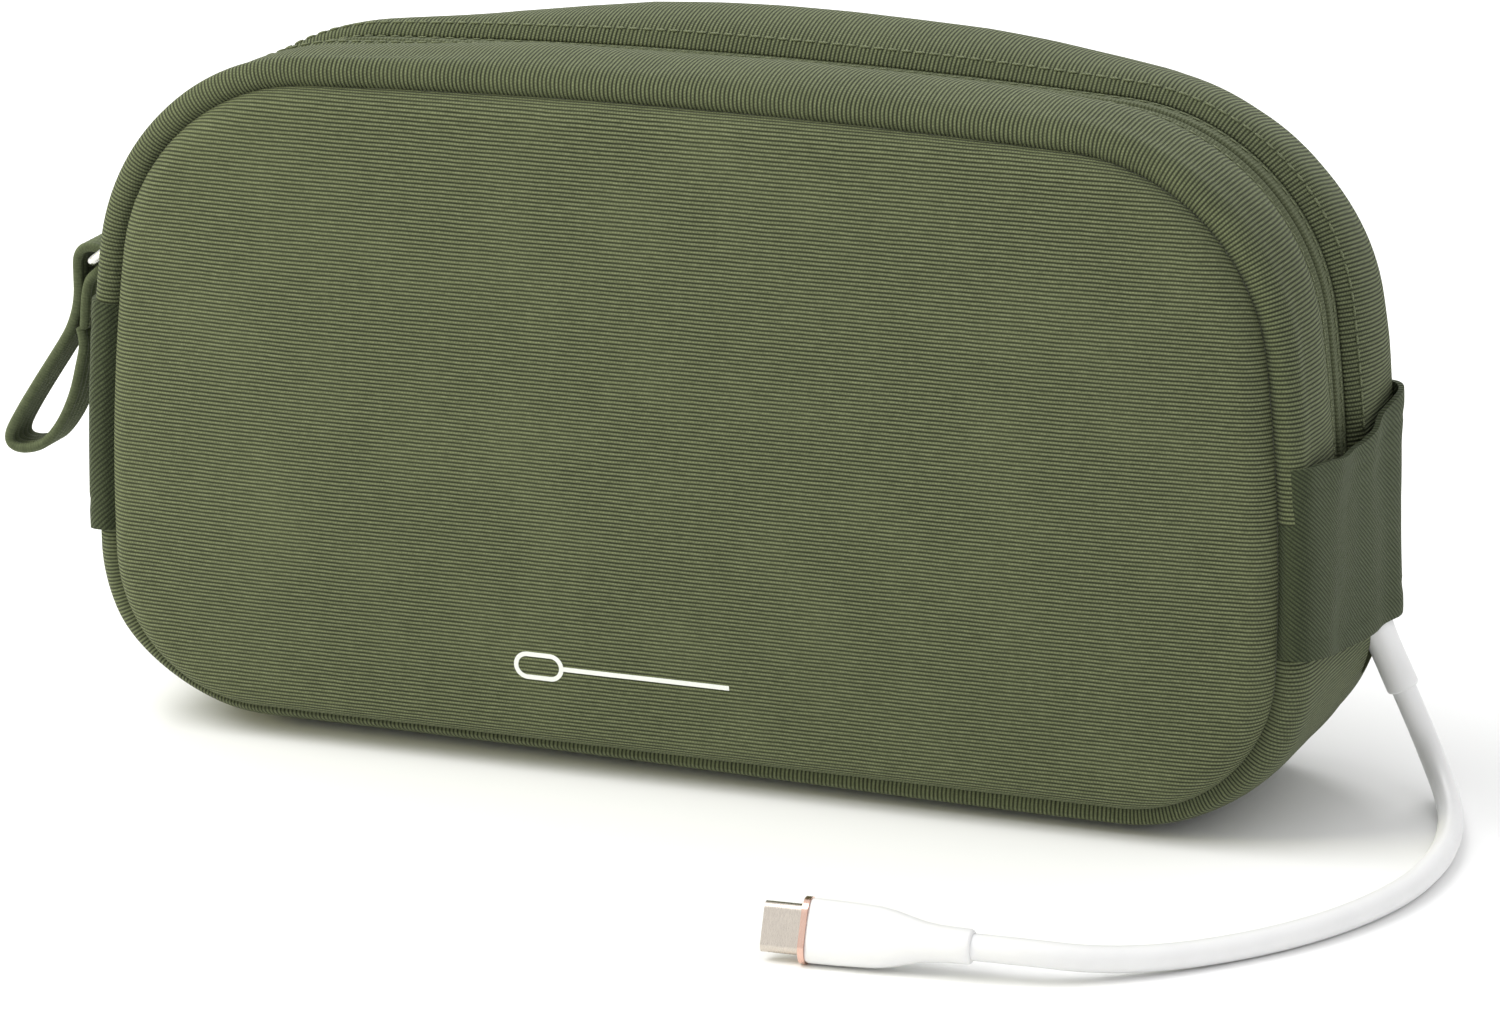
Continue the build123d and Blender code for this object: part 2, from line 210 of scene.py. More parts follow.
def face_y(obj, sign):
    """Turns an open sheet's faces so that they look along y, or against it for a sign of -1."""
    if sum(face.normal.y for face in obj.data.polygons) * sign < 0:
        whole(obj, bpy.ops.mesh.flip_normals)


# %% [markdown]
# ## The outline
# Seen from the front, the gusset's outer face is a chain of arcs: a flat base, two lower
# corners, bowed sides, two upper corners and a low crown. A place on it is named by its way
# round in millimetres, from the middle of the base towards the lead's end. Every arc keeps its
# centre when the line moves inwards, so one chain serves all layers of the pouch.

# %% Outline
HALF_BASE = 79.3724
RIGHT_ARCS = [  # centre x, centre z, radius, first angle, last angle
    (79.3724, 32.0, 32.0, -90.0, -1.7830),
    (-235.9762, 41.8166, 347.5013, -1.7830, 7.3187),
    (67.0362, 80.7341, 42.0, 7.3187, 86.9821),
    (0.0, -1190.7812, 1315.2812, 86.9821, 90.0),
]
LEFT_ARCS = [(-x, z, r, 180 - b, 180 - a) for x, z, r, a, b in reversed(RIGHT_ARCS)]
ARCS = RIGHT_ARCS + LEFT_ARCS
ARC_LENGTHS = [r * math.radians(b - a) for _, _, r, a, b in ARCS]
ROUND = 2 * HALF_BASE + sum(ARC_LENGTHS)


def place(way, inset=0.0):
    """(x, z, outward x, outward z) at this way round the outline."""
    way = way % ROUND
    if way <= HALF_BASE:
        return way, inset, 0.0, -1.0
    left = way - HALF_BASE
    for (x, z, r, a, b), length in zip(ARCS, ARC_LENGTHS):
        if left <= length:
            angle = math.radians(a + (b - a) * left / length)
            c, s = math.cos(angle), math.sin(angle)
            return x + (r - inset) * c, z + (r - inset) * s, c, s
        left -= length
    return left - HALF_BASE, inset, 0.0, -1.0


def way_at(height):
    """Way round the right-hand side at this height."""
    low, high = HALF_BASE, ROUND / 2
    for _ in range(40):
        middle = (low + high) / 2
        low, high = (middle, high) if place(middle)[1] < height else (low, middle)
    return low


print("once round:", round(ROUND, 1), "mm")

# %% [markdown]
# ## Gentle unevenness
# Sewn cloth is never as even as a drawing. A soft noise gives slow swells, always the same
# ones.


# %% Noise and curves
def swell(x, y, z, size, seed=0.0):
    """Smooth noise from about -1 to 1, whose swells are size millimetres across."""
    return noise.noise(Vector((x / size + seed, y / size - seed, z / size + 2 * seed)))


def ease(t):
    t = min(max(t, 0.0), 1.0)
    return t * t * (3 - 2 * t)


def flow(points, steps, closed=False):
    """A smooth line through the points, with steps to each gap."""
    p = [np.array(q, float) for q in points]
    n = len(p)
    out = []
    for i in range(n if closed else n - 1):
        if closed:
            a, b, c, d = p[i - 1], p[i], p[(i + 1) % n], p[(i + 2) % n]
        else:
            a, b, c, d = p[max(i - 1, 0)], p[i], p[i + 1], p[min(i + 2, n - 1)]
        for k in range(steps):
            t = k / steps
            out.append(
                0.5 * (2 * b + (c - a) * t + (2 * a - 5 * b + 4 * c - d) * t * t
                       + (3 * b - a - 3 * c + d) * t ** 3)
            )
    if not closed:
        out.append(p[-1])
    return out


# %% [markdown]
# ## The ribbed weave
# The cloth is a rib weave: thick weft cords lie side by side, and a fine warp crosses and
# pinches them. One node group makes it from a flat position on the cloth in metres, where X
# runs along the cords and Y across them. It gives out a height for the bump, a mask of the
# grooves, and a fleck that differs from yarn to yarn. A wave alone looks printed, so noise
# bends the cords a little and changes their thickness.


# %% Node helpers
class Board:
    """Adds nodes to a tree and links them."""

    def __init__(self, tree):
        self.tree = tree

    def node(self, kind, **settings):
        made = self.tree.nodes.new(kind)
        for key, value in settings.items():
            setattr(made, key, value)
        return made

    def feed(self, value, socket):
        if isinstance(value, bpy.types.NodeSocket):
            self.tree.links.new(value, socket)
        elif value is not None:
            socket.default_value = value

    def math(self, operation, a, b=None, c=None, clamp=False):
        made = self.node("ShaderNodeMath", operation=operation, use_clamp=clamp)
        for value, socket in zip((a, b, c), made.inputs):
            self.feed(value, socket)
        return made.outputs[0]

    def noise(self, vector, scale, detail=2.0, rough=0.5):
        made = self.node("ShaderNodeTexNoise")
        self.feed(vector, made.inputs["Vector"])
        self.feed(scale, made.inputs["Scale"])
        made.inputs["Detail"].default_value = detail
        made.inputs["Roughness"].default_value = rough
        return made.outputs["Fac"]

    def times(self, a, b):
        return self.math("MULTIPLY", a, b)

    def wave(self, turns):
        """A wave from 0 to 1 that repeats at every whole turn."""
        return self.math("MULTIPLY_ADD", self.math("SINE", self.times(turns, math.tau)), 0.5, 0.5)

    def bump(self, height, distance, strength):
        made = self.node("ShaderNodeBump")
        made.inputs["Distance"].default_value = distance
        made.inputs["Strength"].default_value = strength
        self.feed(height, made.inputs["Height"])
        return made.outputs[0]

    def split(self, vector):
        made = self.node("ShaderNodeSeparateXYZ")
        self.feed(vector, made.inputs[0])
        return made.outputs

    def join(self, x, y, z=0.0):
        made = self.node("ShaderNodeCombineXYZ")
        for value, socket in zip((x, y, z), made.inputs):
            self.feed(value, socket)
        return made.outputs[0]

    def mix(self, share, a, b, blend="MIX"):
        made = self.node("ShaderNodeMix", data_type="RGBA", blend_type=blend)
        self.feed(share, made.inputs[0])
        self.feed(a, made.inputs[6])
        self.feed(b, made.inputs[7])
        return made.outputs[2]

    def span(self, value, low, high, to_low, to_high):
        made = self.node("ShaderNodeMapRange")
        self.feed(value, made.inputs[0])
        for number, socket in zip((low, high, to_low, to_high), made.inputs[1:5]):
            self.feed(number, socket)
        return made.outputs[0]

    def group(self, name, **values):
        made = self.node("ShaderNodeGroup", node_tree=bpy.data.node_groups[name])
        for key, value in values.items():
            self.feed(value, made.inputs[key.replace("_", " ")])
        return made.outputs


def new_group(name, inputs, outputs):
    """An empty shader node group with named sockets: (name, kind, value) in, (name, kind) out."""
    tree = bpy.data.node_groups.new(name, "ShaderNodeTree")
    for label, kind, value in inputs:
        socket = tree.interface.new_socket(label, in_out="INPUT", socket_type="NodeSocket" + kind)
        if value is not None:
            socket.default_value = value
    for label, kind in outputs:
        tree.interface.new_socket(label, in_out="OUTPUT", socket_type="NodeSocket" + kind)
    board = Board(tree)
    return board, board.node("NodeGroupInput").outputs, board.node("NodeGroupOutput").inputs


# %% Rib weave group
board, given, out = new_group(
    "rib weave",
    [("Vector", "Vector", None), ("Pitch", "Float", 0.0007), ("Warp Pitch", "Float", 0.0005),
     ("Waver", "Float", 0.00025)],
    [("Height", "Float"), ("Groove", "Float"), ("Fleck", "Float")],
)
x, y, _ = board.split(given["Vector"])


def drawn_out(along, across):
    """The flat position, squeezed so that noise on it turns into long streaks."""
    return board.join(board.times(x, along), board.times(y, across))


wander = board.math("SUBTRACT", board.noise(given["Vector"], 140.0, 3.0), 0.5)
lifted = board.math("ADD", y, board.times(wander, given["Waver"]))
cords = board.math("DIVIDE", lifted, given["Pitch"])
row = board.math("FLOOR", cords)
half_step = board.math("MULTIPLY_ADD", board.math("PINGPONG", row, 1.0), 0.5,
                       board.math("DIVIDE", x, given["Warp Pitch"]))
thick = board.span(board.noise(drawn_out(260.0, 1500.0), 1.0, 3.0, 0.65), 0.3, 0.7, 0.72, 1.0)
beads = board.math("MULTIPLY_ADD", board.wave(half_step), 0.30, 0.70)
height = board.times(board.times(board.math("POWER", board.wave(cords), 0.6), thick), beads)
board.feed(height, out["Height"])
board.feed(board.math("SUBTRACT", 1.0, height, clamp=True), out["Groove"])
board.feed(board.noise(drawn_out(900.0, 2600.0), 1.0, 2.0, 0.7), out["Fleck"])

# %% [markdown]
# ## Dye and handling
# Dyed cloth is not one colour. The dye takes unevenly over a few centimetres, and places that
# hands and pockets rub turn paler. A second group gives these two slow masks to every cloth.

# %% Dye group
board, given, out = new_group(
    "dye and rub",
    [("Vector", "Vector", None), ("Patch Scale", "Float", 22.0), ("Rub Scale", "Float", 60.0)],
    [("Patch", "Float"), ("Rub", "Float")],
)
patch = board.noise(given["Vector"], given["Patch Scale"])
rub = board.noise(given["Vector"], given["Rub Scale"], 5.0)
board.feed(board.span(patch, 0.3, 0.7, 0.0, 1.0), out["Patch"])
board.feed(board.span(rub, 0.45, 0.75, 0.0, 1.0), out["Rub"])
print("node groups:", [group.name for group in bpy.data.node_groups])

# %% [markdown]
# ## Cloth materials
# A cloth's material joins both groups: the grooves between cords get painted shade, darker than
# the cords, flecks change single yarns, and the slow masks drift over all of it. A sewn cloth
# reads its own UV map, which is in metres on the flat cloth, so its ribs turn with it. Foam, coil
# and thread have no visible weave, and read the object's own coordinates.


# %% Cloth maker
# The first factor darkens the grooves as painted shade; patches are uneven dye and rubs are wear.
GROOVE_PAINTED_SHADE, PATCH_SHADE, RUB_SHADE = 0.14, 0.8, 1.25
PATCH_SHARE, RUB_SHARE = 0.07, 0.06


def tint(color, factor=1.0):
    """A socket's colour, paler or darker by the factor."""
    return (*[c * factor for c in color], 1)


def even(surface, **values):
    """Sets the surface's values that are the same all over: Sheen_Weight is Sheen Weight."""
    for key, value in values.items():
        surface.inputs[key.replace("_", " ")].default_value = value


def shader(name):
    material = bpy.data.materials.new(name)
    material.use_nodes = True
    tree = material.node_tree
    tree.nodes.clear()
    made = Board(tree)
    surface = made.node("ShaderNodeBsdfPrincipled")
    made.feed(surface.outputs[0], made.node("ShaderNodeOutputMaterial").inputs["Surface"])
    return material, made, surface


def cloth(slot, light, dark, pitch, warp, turn=0.0, plane="uv", groove_painted_shade=0.6, bump=0.00022,
          rough=0.86):
    """A ribbed cloth. Its flat position comes from the plane: uv, or the axes along and across."""
    material, made, surface = shader(slot)
    if plane == "uv":
        flat = made.node("ShaderNodeUVMap", uv_map="cut").outputs[0]
    else:
        spot = made.split(made.node("ShaderNodeTexCoord").outputs["Object"])
        flat = made.join(spot["XYZ".index(plane[0])], spot["XYZ".index(plane[1])])
    if turn:
        mapping = made.node("ShaderNodeMapping")
        made.feed(flat, mapping.inputs["Vector"])
        mapping.inputs["Rotation"].default_value = (0, 0, math.radians(turn))
        flat = mapping.outputs[0]
    weave = made.group("rib weave", Vector=flat, Pitch=pitch, Warp_Pitch=warp)
    dye = made.group("dye and rub", Vector=made.node("ShaderNodeTexCoord").outputs["Object"])
    tone = made.mix(made.span(weave["Fleck"], 0.32, 0.68, 0.225, 0.775),
                    tint(dark), tint(light))
    # Painted shade: the grooves between the cords are darkened in the colour by the groove mask.
    tone = made.mix(made.times(made.span(weave["Groove"], 0.18, 0.85, 0.0, 1.0), groove_painted_shade), tone,
                    tint(dark, GROOVE_PAINTED_SHADE))
    tone = made.mix(made.times(dye["Patch"], PATCH_SHARE), tone, tint(dark, PATCH_SHADE))
    tone = made.mix(made.times(dye["Rub"], RUB_SHARE), tone, tint(light, RUB_SHADE))
    made.feed(tone, surface.inputs["Base Color"])
    made.feed(made.span(weave["Height"], 0.0, 1.0, min(rough + 0.08, 1.0), rough - 0.06),
              surface.inputs["Roughness"])
    made.feed(made.bump(weave["Height"], bump, 0.9), surface.inputs["Normal"])
    even(surface, Sheen_Weight=0.12, Sheen_Roughness=0.5, Sheen_Tint=(0.75, 0.85, 0.55, 1),
         Specular_IOR_Level=0.25)
    paints[slot] = material


cloth("panel_cloth", (0.235, 0.262, 0.136), (0.112, 0.131, 0.060), 0.0007, 0.00052,
      groove_painted_shade=1.0, bump=0.00036)
cloth("gusset_cloth", (0.205, 0.232, 0.120), (0.100, 0.119, 0.055), 0.00075, 0.00052, turn=90,
      groove_painted_shade=1.0, bump=0.00036)
cloth("band_cloth", (0.078, 0.097, 0.046), (0.036, 0.047, 0.021), 0.00068, 0.0005, turn=52,
      groove_painted_shade=0.75, bump=0.00028)
cloth("zip_tape", (0.125, 0.142, 0.075), (0.075, 0.088, 0.043), 0.0007, 0.0005, turn=90, groove_painted_shade=0.5)
cloth("webbing", (0.125, 0.148, 0.080), (0.060, 0.074, 0.036), 0.0018, 0.00055, groove_painted_shade=0.6,
      bump=0.0002)
cloth("lining", (0.135, 0.145, 0.110), (0.095, 0.103, 0.078), 0.00035, 0.00035, groove_painted_shade=0.25,
      bump=0.00008, rough=0.7)
cloth("binding", (0.080, 0.095, 0.048), (0.046, 0.057, 0.028), 0.0009, 0.0005, groove_painted_shade=0.5)
cloth("elastic", (0.045, 0.050, 0.036), (0.022, 0.026, 0.018), 0.0012, 0.0009, groove_painted_shade=0.5)
cloth("foam", (0.74, 0.74, 0.71), (0.62, 0.62, 0.60), 0.0012, 0.0011, plane="XZ", groove_painted_shade=0.12,
      bump=0.0001)
cloth("zip_coil", (0.070, 0.085, 0.045), (0.040, 0.050, 0.026), 0.0009, 0.0009, plane="XZ",
      groove_painted_shade=0.2, bump=0.00004, rough=0.45)
print("cloths:", len(paints))

# %% [markdown]
# ## Thread and net
# Sewing thread is two fine plies twisted together. Its material is the cloth's colour, a little
# brighter, with slanted ply lines, and each stitch is a small rounded mesh. The net's holes are
# too many to cut, so two crossing waves on its UV map make it clear between its threads.

# %% Thread and net
cloth("thread", (0.210, 0.235, 0.130), (0.130, 0.150, 0.078), 0.00028, 0.0002, plane="XZ", turn=35,
      groove_painted_shade=0.5, bump=0.00006, rough=0.6)

mesh_paint, made, surface = shader("mesh")
cut = made.node("ShaderNodeUVMap", uv_map="cut").outputs[0]
u, v, _ = made.split(cut)
HOLE_STEP = 0.0022
slants = [made.math("SINE", made.times(made.math(step, u, v), math.tau / HOLE_STEP))
          for step in ("ADD", "SUBTRACT")]
threads = made.span(made.math("ABSOLUTE", made.times(*slants)), 0.25, 0.40, 1.0, 0.0)
made.feed(threads, surface.inputs["Alpha"])
made.feed(made.mix(made.noise(cut, 1500.0), (0.030, 0.034, 0.024, 1), (0.075, 0.082, 0.058, 1)),
          surface.inputs["Base Color"])
even(surface, Roughness=0.7)
paints["mesh"] = mesh_paint

# %% [markdown]
# ## Silicone, metal and plastic
# The lead is satin silicone: almost white, slightly see-through at its edges, with the faintest
# mottle. The plug's shell is drawn steel, its flange polished rose gold and the slider and ring
# nickel plate. Plate wears on its edges and carries fine scratches; one group gives every hard
# finish its scratches and smudges.

# %% Handled surface group
board, given, out = new_group(
    "fine scratches",
    [("Vector", "Vector", None), ("Scale", "Float", 900.0), ("Amount", "Float", 0.5)],
    [("Scratch", "Float"), ("Smudge", "Float")],
)
sx, sy, sz = board.split(given["Vector"])
fine = board.noise(board.join(board.times(sx, 9.0), sy, board.times(sz, 0.6)), given["Scale"], 4.0)
board.feed(board.times(board.span(fine, 0.42, 0.62, 0.0, 1.0), given["Amount"]), out["Scratch"])
board.feed(board.noise(given["Vector"], 180.0, 3.0), out["Smudge"])


# %% Hard finishes
def hard(slot, light, dark, metal, rough, rough_span, scale=900.0):
    """A smooth finish with scratches and smudges that change its colour and gloss."""
    material, made, surface = shader(slot)
    spot = made.node("ShaderNodeTexCoord").outputs["Object"]
    marks = made.group("fine scratches", Vector=spot, Scale=scale, Amount=0.7)
    made.feed(made.mix(marks["Smudge"], tint(dark), tint(light)), surface.inputs["Base Color"])
    made.feed(made.math("MULTIPLY_ADD", marks["Scratch"], rough_span, rough),
              surface.inputs["Roughness"])
    made.feed(made.bump(marks["Scratch"], 0.00001, 0.35), surface.inputs["Normal"])
    even(surface, Metallic=metal)
    paints[slot] = material
    return surface


hard("slider_metal", (0.78, 0.78, 0.75), (0.60, 0.60, 0.58), 1.0, 0.16, 0.22)
hard("rose_metal", (0.86, 0.60, 0.50), (0.72, 0.46, 0.37), 1.0, 0.16, 0.18)
hard("plug_steel", (0.70, 0.64, 0.57), (0.58, 0.52, 0.46), 1.0, 0.24, 0.16, scale=1600.0)
hard("plug_plastic", (0.045, 0.045, 0.047), (0.020, 0.020, 0.021), 0.0, 0.42, 0.2)
hard("print", (0.84, 0.86, 0.84), (0.72, 0.74, 0.72), 0.0, 0.5, 0.2)
silicone = hard("white_silicone", (0.80, 0.80, 0.80), (0.74, 0.74, 0.745), 0.0, 0.38, 0.16, 500.0)
even(silicone, Subsurface_Weight=0.10, Subsurface_Radius=(0.0012, 0.0011, 0.0010),
     Subsurface_Scale=1.0)
print("finishes:", len(paints))

# %% [markdown]
# ## The lead
# The lead leaves the port under the right-hand band, drops to the table, and comes round in one
# loose curve to its plug. It is a soft silicone lead, 4.4 mm thick and about 158 mm long
# between its two sleeves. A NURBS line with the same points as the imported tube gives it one
# smooth bend after another.

# %% Lead
LEAD_WAY = [
    (0.1156, 0.0187, 0.0170), (0.1186, 0.0191, 0.0104), (0.1226, 0.0148, 0.0054),
    (0.1272, 0.0064, 0.0027), (0.1318, -0.0070, 0.0023), (0.1348, -0.0245, 0.0023),
    (0.1336, -0.0450, 0.0023), (0.1252, -0.0665, 0.0023), (0.1116, -0.0840, 0.0023),
    (0.0990, -0.0950, 0.0033), (0.0878, -0.1008, 0.0053), (0.0793, -0.1014, 0.0053),
]
LEAD_THICK = 0.0044


def round_line(name, kind, points, half, roundness):
    """A curve object with a round section through the points, in metres."""
    data = bpy.data.curves.new(name, "CURVE")
    data.dimensions = "3D"
    line = data.splines.new(kind)
    line.points.add(len(points) - 1)
    for spot, point in zip(line.points, points):
        spot.co = (*point, 1)
    data.bevel_depth = half
    data.bevel_resolution = roundness
    made = bpy.data.objects.new(name, data)
    bpy.context.scene.collection.objects.link(made)
    return made


lead = round_line("lead", "NURBS", LEAD_WAY, LEAD_THICK / 2, 6)
lead.data.use_fill_caps = True
bends = lead.data.splines[0]
bends.order_u = 3
bends.use_endpoint_u = True
bends.resolution_u = 16
lead.data.materials.append(paints["white_silicone"])
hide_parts("cable_jacket")
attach(lead, "root")
print("lead points:", len(LEAD_WAY))

# %% [markdown]
# ## The pouch's slack
# Nothing holds the back half upright, so its shoulders sag towards the back while the crown of
# the top stays full. The sag is one smooth move that every soft piece of the back half shares,
# so they stay together: it grows from the zip to the back seam, and from the sides' upper half
# to the top.

# %% Sag of the back shoulders
SAG_Y, SAG_DEEP, SAG_Z, SAG_HIGH, SAG_INWARDS = 4, 19, 62, 50, 0.35
SHOULDER_SAG = [(-110, 6.4), (-97, 7.0), (-85, 7.4), (-73, 6.4), (-60, 4.4), (-48, 2.4), (-36, 0.8),
                (-24, -0.5), (-11, -1.1), (1, -1.5), (13, -1.5), (25, -1.2), (38, -0.7), (50, 0.2),
                (62, 1.3), (74, 2.6), (87, 3.3), (99, 3.2), (110, 2.6)]


def table_at(table, at):
    return float(np.interp(at, [p[0] for p in table], [p[1] for p in table]))


def sag(x, y, z):
    """Where a point of the sewn pouch settles, in millimetres."""
    if y <= SAG_Y or z <= SAG_Z:
        return x, y, z
    share = ease((y - SAG_Y) / SAG_DEEP) * ease((z - SAG_Z) / SAG_HIGH)
    drop = table_at(SHOULDER_SAG, x)
    return x - math.copysign(SAG_INWARDS * max(drop, 0), x) * share, y, z - drop * share


print("deepest sag:", max(drop for _, drop in SHOULDER_SAG), "mm")


# %% [markdown]
# ## The plugs' sleeves
# A sleeve is moulded over the plug and the lead's end. It is a rounded oval at the flange and
# pulls in through a soft shoulder to a short collar where the lead enters. A cylinder is the
# start: it is cut across by bisecting, and each ring of points then gets its own width and
# height.

# %% Sleeves
SLEEVE_LONG = 27.0
SLEEVE_RINGS = [  # distance from the lead's end, width, height, squareness
    (0.0, 4.9, 4.9, 2.0), (0.15, 5.4, 5.4, 2.0), (0.5, 5.7, 5.7, 2.0), (3.0, 5.8, 5.7, 2.0),
    (5.5, 6.0, 5.6, 2.1), (8.0, 6.6, 5.5, 2.2), (10.5, 7.8, 5.5, 2.3), (13.0, 9.1, 5.6, 2.4),
    (15.5, 9.9, 5.7, 2.6), (18.5, 10.2, 5.7, 2.8), (22.0, 10.4, 5.7, 3.0), (26.0, 10.5, 5.7, 3.0),
    (26.7, 10.4, 5.6, 3.0), (27.0, 10.0, 5.2, 3.0),
]


def sleeve(name, lead_end, inward, roll, nodes_replaced):
    """A sleeve from the lead's end, along the way into the plug, turned about that way by roll."""
    axis = (Vector(lead_end) - Vector(inward)).normalized()
    level = Vector((0, 0, 1)).cross(axis).normalized()
    turned = level * math.cos(roll) + axis.cross(level) * math.sin(roll)
    upright = axis.cross(turned)
    bpy.ops.object.select_all(action="DESELECT")
    bpy.ops.mesh.primitive_cylinder_add(vertices=48, radius=1, depth=SLEEVE_LONG,
                                        end_fill_type="NGON")
    obj = bpy.context.object
    edit(obj)
    for distance, *_ in SLEEVE_RINGS[1:-1]:
        bpy.ops.mesh.select_all(action="SELECT")
        bpy.ops.mesh.bisect(plane_co=(0, 0, distance - SLEEVE_LONG / 2), plane_no=(0, 0, 1))
    leave_edit()
    table = np.array(SLEEVE_RINGS)
    points = []
    for x, y, z in get_points(obj):
        along = z + SLEEVE_LONG / 2
        wide, high, square = (float(np.interp(along, table[:, 0], table[:, k])) for k in (1, 2, 3))
        angle = math.atan2(y, x)
        c, s = math.cos(angle), math.sin(angle)
        u = math.copysign(abs(c) ** (2 / square), c) * wide / 2
        v = math.copysign(abs(s) ** (2 / square), s) * high / 2
        points.append(Vector(lead_end) + (turned * u + upright * v + axis * along) * MM)
    set_points(obj, points)
    whole(obj, bpy.ops.mesh.normals_make_consistent, inside=False)
    smooth(obj, 50)
    return dress(obj, name, "white_silicone", "root", nodes_replaced)


OUTER_ROLL = math.radians(115)
outer_sleeve = sleeve("outer_sleeve", LEAD_WAY[-1], LEAD_WAY[-2], OUTER_ROLL, ["outer_plug_sleeve"])
sleeve("inner_sleeve", LEAD_WAY[0], LEAD_WAY[1], 0.0, ["inner_plug_sleeve"])

# %% [markdown]
# ## Strips of cloth laid round the outline
# Every gusset piece starts as the sewer's flat strip: a plane grid, cut to length. Each column
# of the grid then gets a place across the pouch's depth and a distance inside the outline,
# which together are the strip's profile, and each row gets its way round. Solidify gives the
# cloth its thickness.


# %% Strip maker
def lay(name, first, last, gap, profile, thick, swelling=None, tube=False):
    """A flat strip laid round the outline between two ways, with profile as (y, inset)."""
    along = max(2, round((last - first) / gap))
    across = len(profile) - 1
    obj, rows, columns = grid(name, along, across)
    width = [0.0]
    for a, b in zip(profile, profile[1:]):
        width.append(width[-1] + math.hypot(b[0] - a[0], b[1] - a[1]))
    points, flat = [], []
    for row, column in zip(rows, columns):
        share = row / along
        y, inset = profile[column][:2]
        way = first + (last - first) * share
        flat.append((way * MM, width[column] * MM))
        if swelling:
            way, y, inset = swelling(way, y, inset, share, column / across)
        x, z, _, _ = place(way, inset)
        points.append([c * MM for c in sag(x, y, z)])
    set_points(obj, points)
    map_cloth(obj, flat)
    if tube:  # its long edges are merged and its ends are filled
        whole(obj, bpy.ops.mesh.remove_doubles, threshold=1e-6)
        edit(obj)
        bpy.ops.mesh.select_non_manifold(extend=False)
        bpy.ops.mesh.edge_face_add()
        leave_edit()
        whole(obj, bpy.ops.mesh.normals_make_consistent, inside=False)
    else:
        face_out(obj)
    if thick:
        modify(obj, "SOLIDIFY", thickness=thick * MM, offset=-1)
    smooth(obj, 60)
    return obj


MIDDLE = Vector((0, 0, 0.06))


def face_out(obj):
    """Turns an open sheet's faces away from the pouch's middle."""
    total = 0.0
    for face in obj.data.polygons:
        away = face.center - MIDDLE
        total += face.area * (face.normal.x * away.x + face.normal.z * away.z)
    if total < 0:
        whole(obj, bpy.ops.mesh.flip_normals)


def half(profile, sign):
    """A front profile for the front, with a sign of -1, or mirrored for the back."""
    return [(-sign * y, inset) for y, inset in profile]


HALVES = [("front", "front_half", -1), ("back", "root", 1)]


# %% [markdown]
# ## The padded top strips
# Foam behind the cloth makes each strip a soft roll. It dives into the panel's seam at one edge
# and turns down into the zip's channel at the other. The roll swells a little between the two.

# %% Top strips
ZIP_END = way_at(58.0)
TOP_FIRST, TOP_LAST = ZIP_END, ROUND - ZIP_END
STRIP = flow(
    [(-25.6, 6.8), (-26.6, 5.3), (-27.8, 3.9), (-27.8, 1.7), (-25.7, -0.1), (-21.5, -1.2),
     (-17.0, -1.5), (-13.0, -1.1), (-10.2, -0.3), (-8.3, 0.8), (-7.1, 2.0), (-6.6, 2.9),
     (-7.4, 3.3)],
    3,
)
FRONT_SETTLE = [(0.0, 0.5), (0.09, 1.0), (0.24, 0.6), (0.36, 0.0), (0.60, 0.1), (0.70, 1.6),
                (0.84, 2.9), (0.94, 2.4), (1.0, 1.2)]


def strip_move(seed, side):
    """Puffs a strip by fractions of a millimetre, and flattens it under the side bands."""

    def move(way, y, inset, share, across):
        depth = abs(y)
        hump = ease((26.8 - depth) / 4.5) * ease((depth - 7.0) / 4)
        inset -= hump * 0.42 * swell(way, y * 0.6, 0, 28, seed)
        y += hump * 0.25 * swell(way, y, 5, 20, seed + 3)
        if side < 0:
            inset = min(inset + hump * table_at(FRONT_SETTLE, share), max(inset, 1.6))
        down = 1 - ease((min(share, 1 - share) * (TOP_LAST - TOP_FIRST) - 5) / 16)
        inset += down * max(0.35 - inset, 0)
        return way, y, inset

    return move


MOVES = {"front": strip_move(1.7, -1), "back": strip_move(4.1, 1)}
for side, body, sign in HALVES:
    strip = lay("strip", TOP_FIRST, TOP_LAST, 2.0, half(STRIP, sign), 0.9, MOVES[side])
    dress(strip, f"{side}_strip_cloth", "gusset_cloth", body, [f"{side}_top_strip"])

# %% [markdown]
# ## Foam and lining under the strips
# The foam fills the roll and the lining closes it towards the inside. The foam is a closed
# strip, laid as a tube with its two long edges merged; the lining is a thin sheet.

# %% Strip foam and lining
STRIP_FOAM = [(-25.2, 2.3), (-25.4, 1.9), (-24.4, 1.2), (-21.5, 0.2), (-17.0, -0.2), (-13.0, 0.1),
              (-10.6, 1.0), (-9.4, 2.0), (-9.4, 2.3), (-16.0, 2.35), (-25.2, 2.3)]
STRIP_LINING = [(-25.0, 3.0), (-22.0, 3.05), (-16.0, 3.1), (-11.0, 3.05), (-7.9, 3.0)]


def under(move):
    """The foam's outer side follows the cloth, and its inner side stays on the lining."""

    def follow(way, y, inset, share, across):
        if inset > 2.25:
            return way, y, inset
        _, _, moved = move(way, y, inset - 0.35, share, across)
        return way, y, min(moved + 0.55, 2.2)

    return follow


for side, body, sign in HALVES:
    pad = lay("pad", TOP_FIRST + 0.4, TOP_LAST - 0.4, 4.0, half(STRIP_FOAM, sign), 0,
              under(MOVES[side]), tube=True)
    dress(pad, f"{side}_strip_padding", "foam", body, [f"{side}_strip_foam"])
    skin = lay("skin", TOP_FIRST, TOP_LAST, 3.0, half(STRIP_LINING, sign), -0.5)
    dress(skin, f"{side}_strip_lining_cloth", "lining", body, [f"{side}_strip_lining"])

# %% [markdown]
# ## The zip
# The tapes lie in the channel between the strips, a few millimetres down. Their meeting edges
# are rolled, and below them two nylon coils mesh. One coil is a helix pressed to an oval: a
# curve with a thin bevel, turned into a mesh.

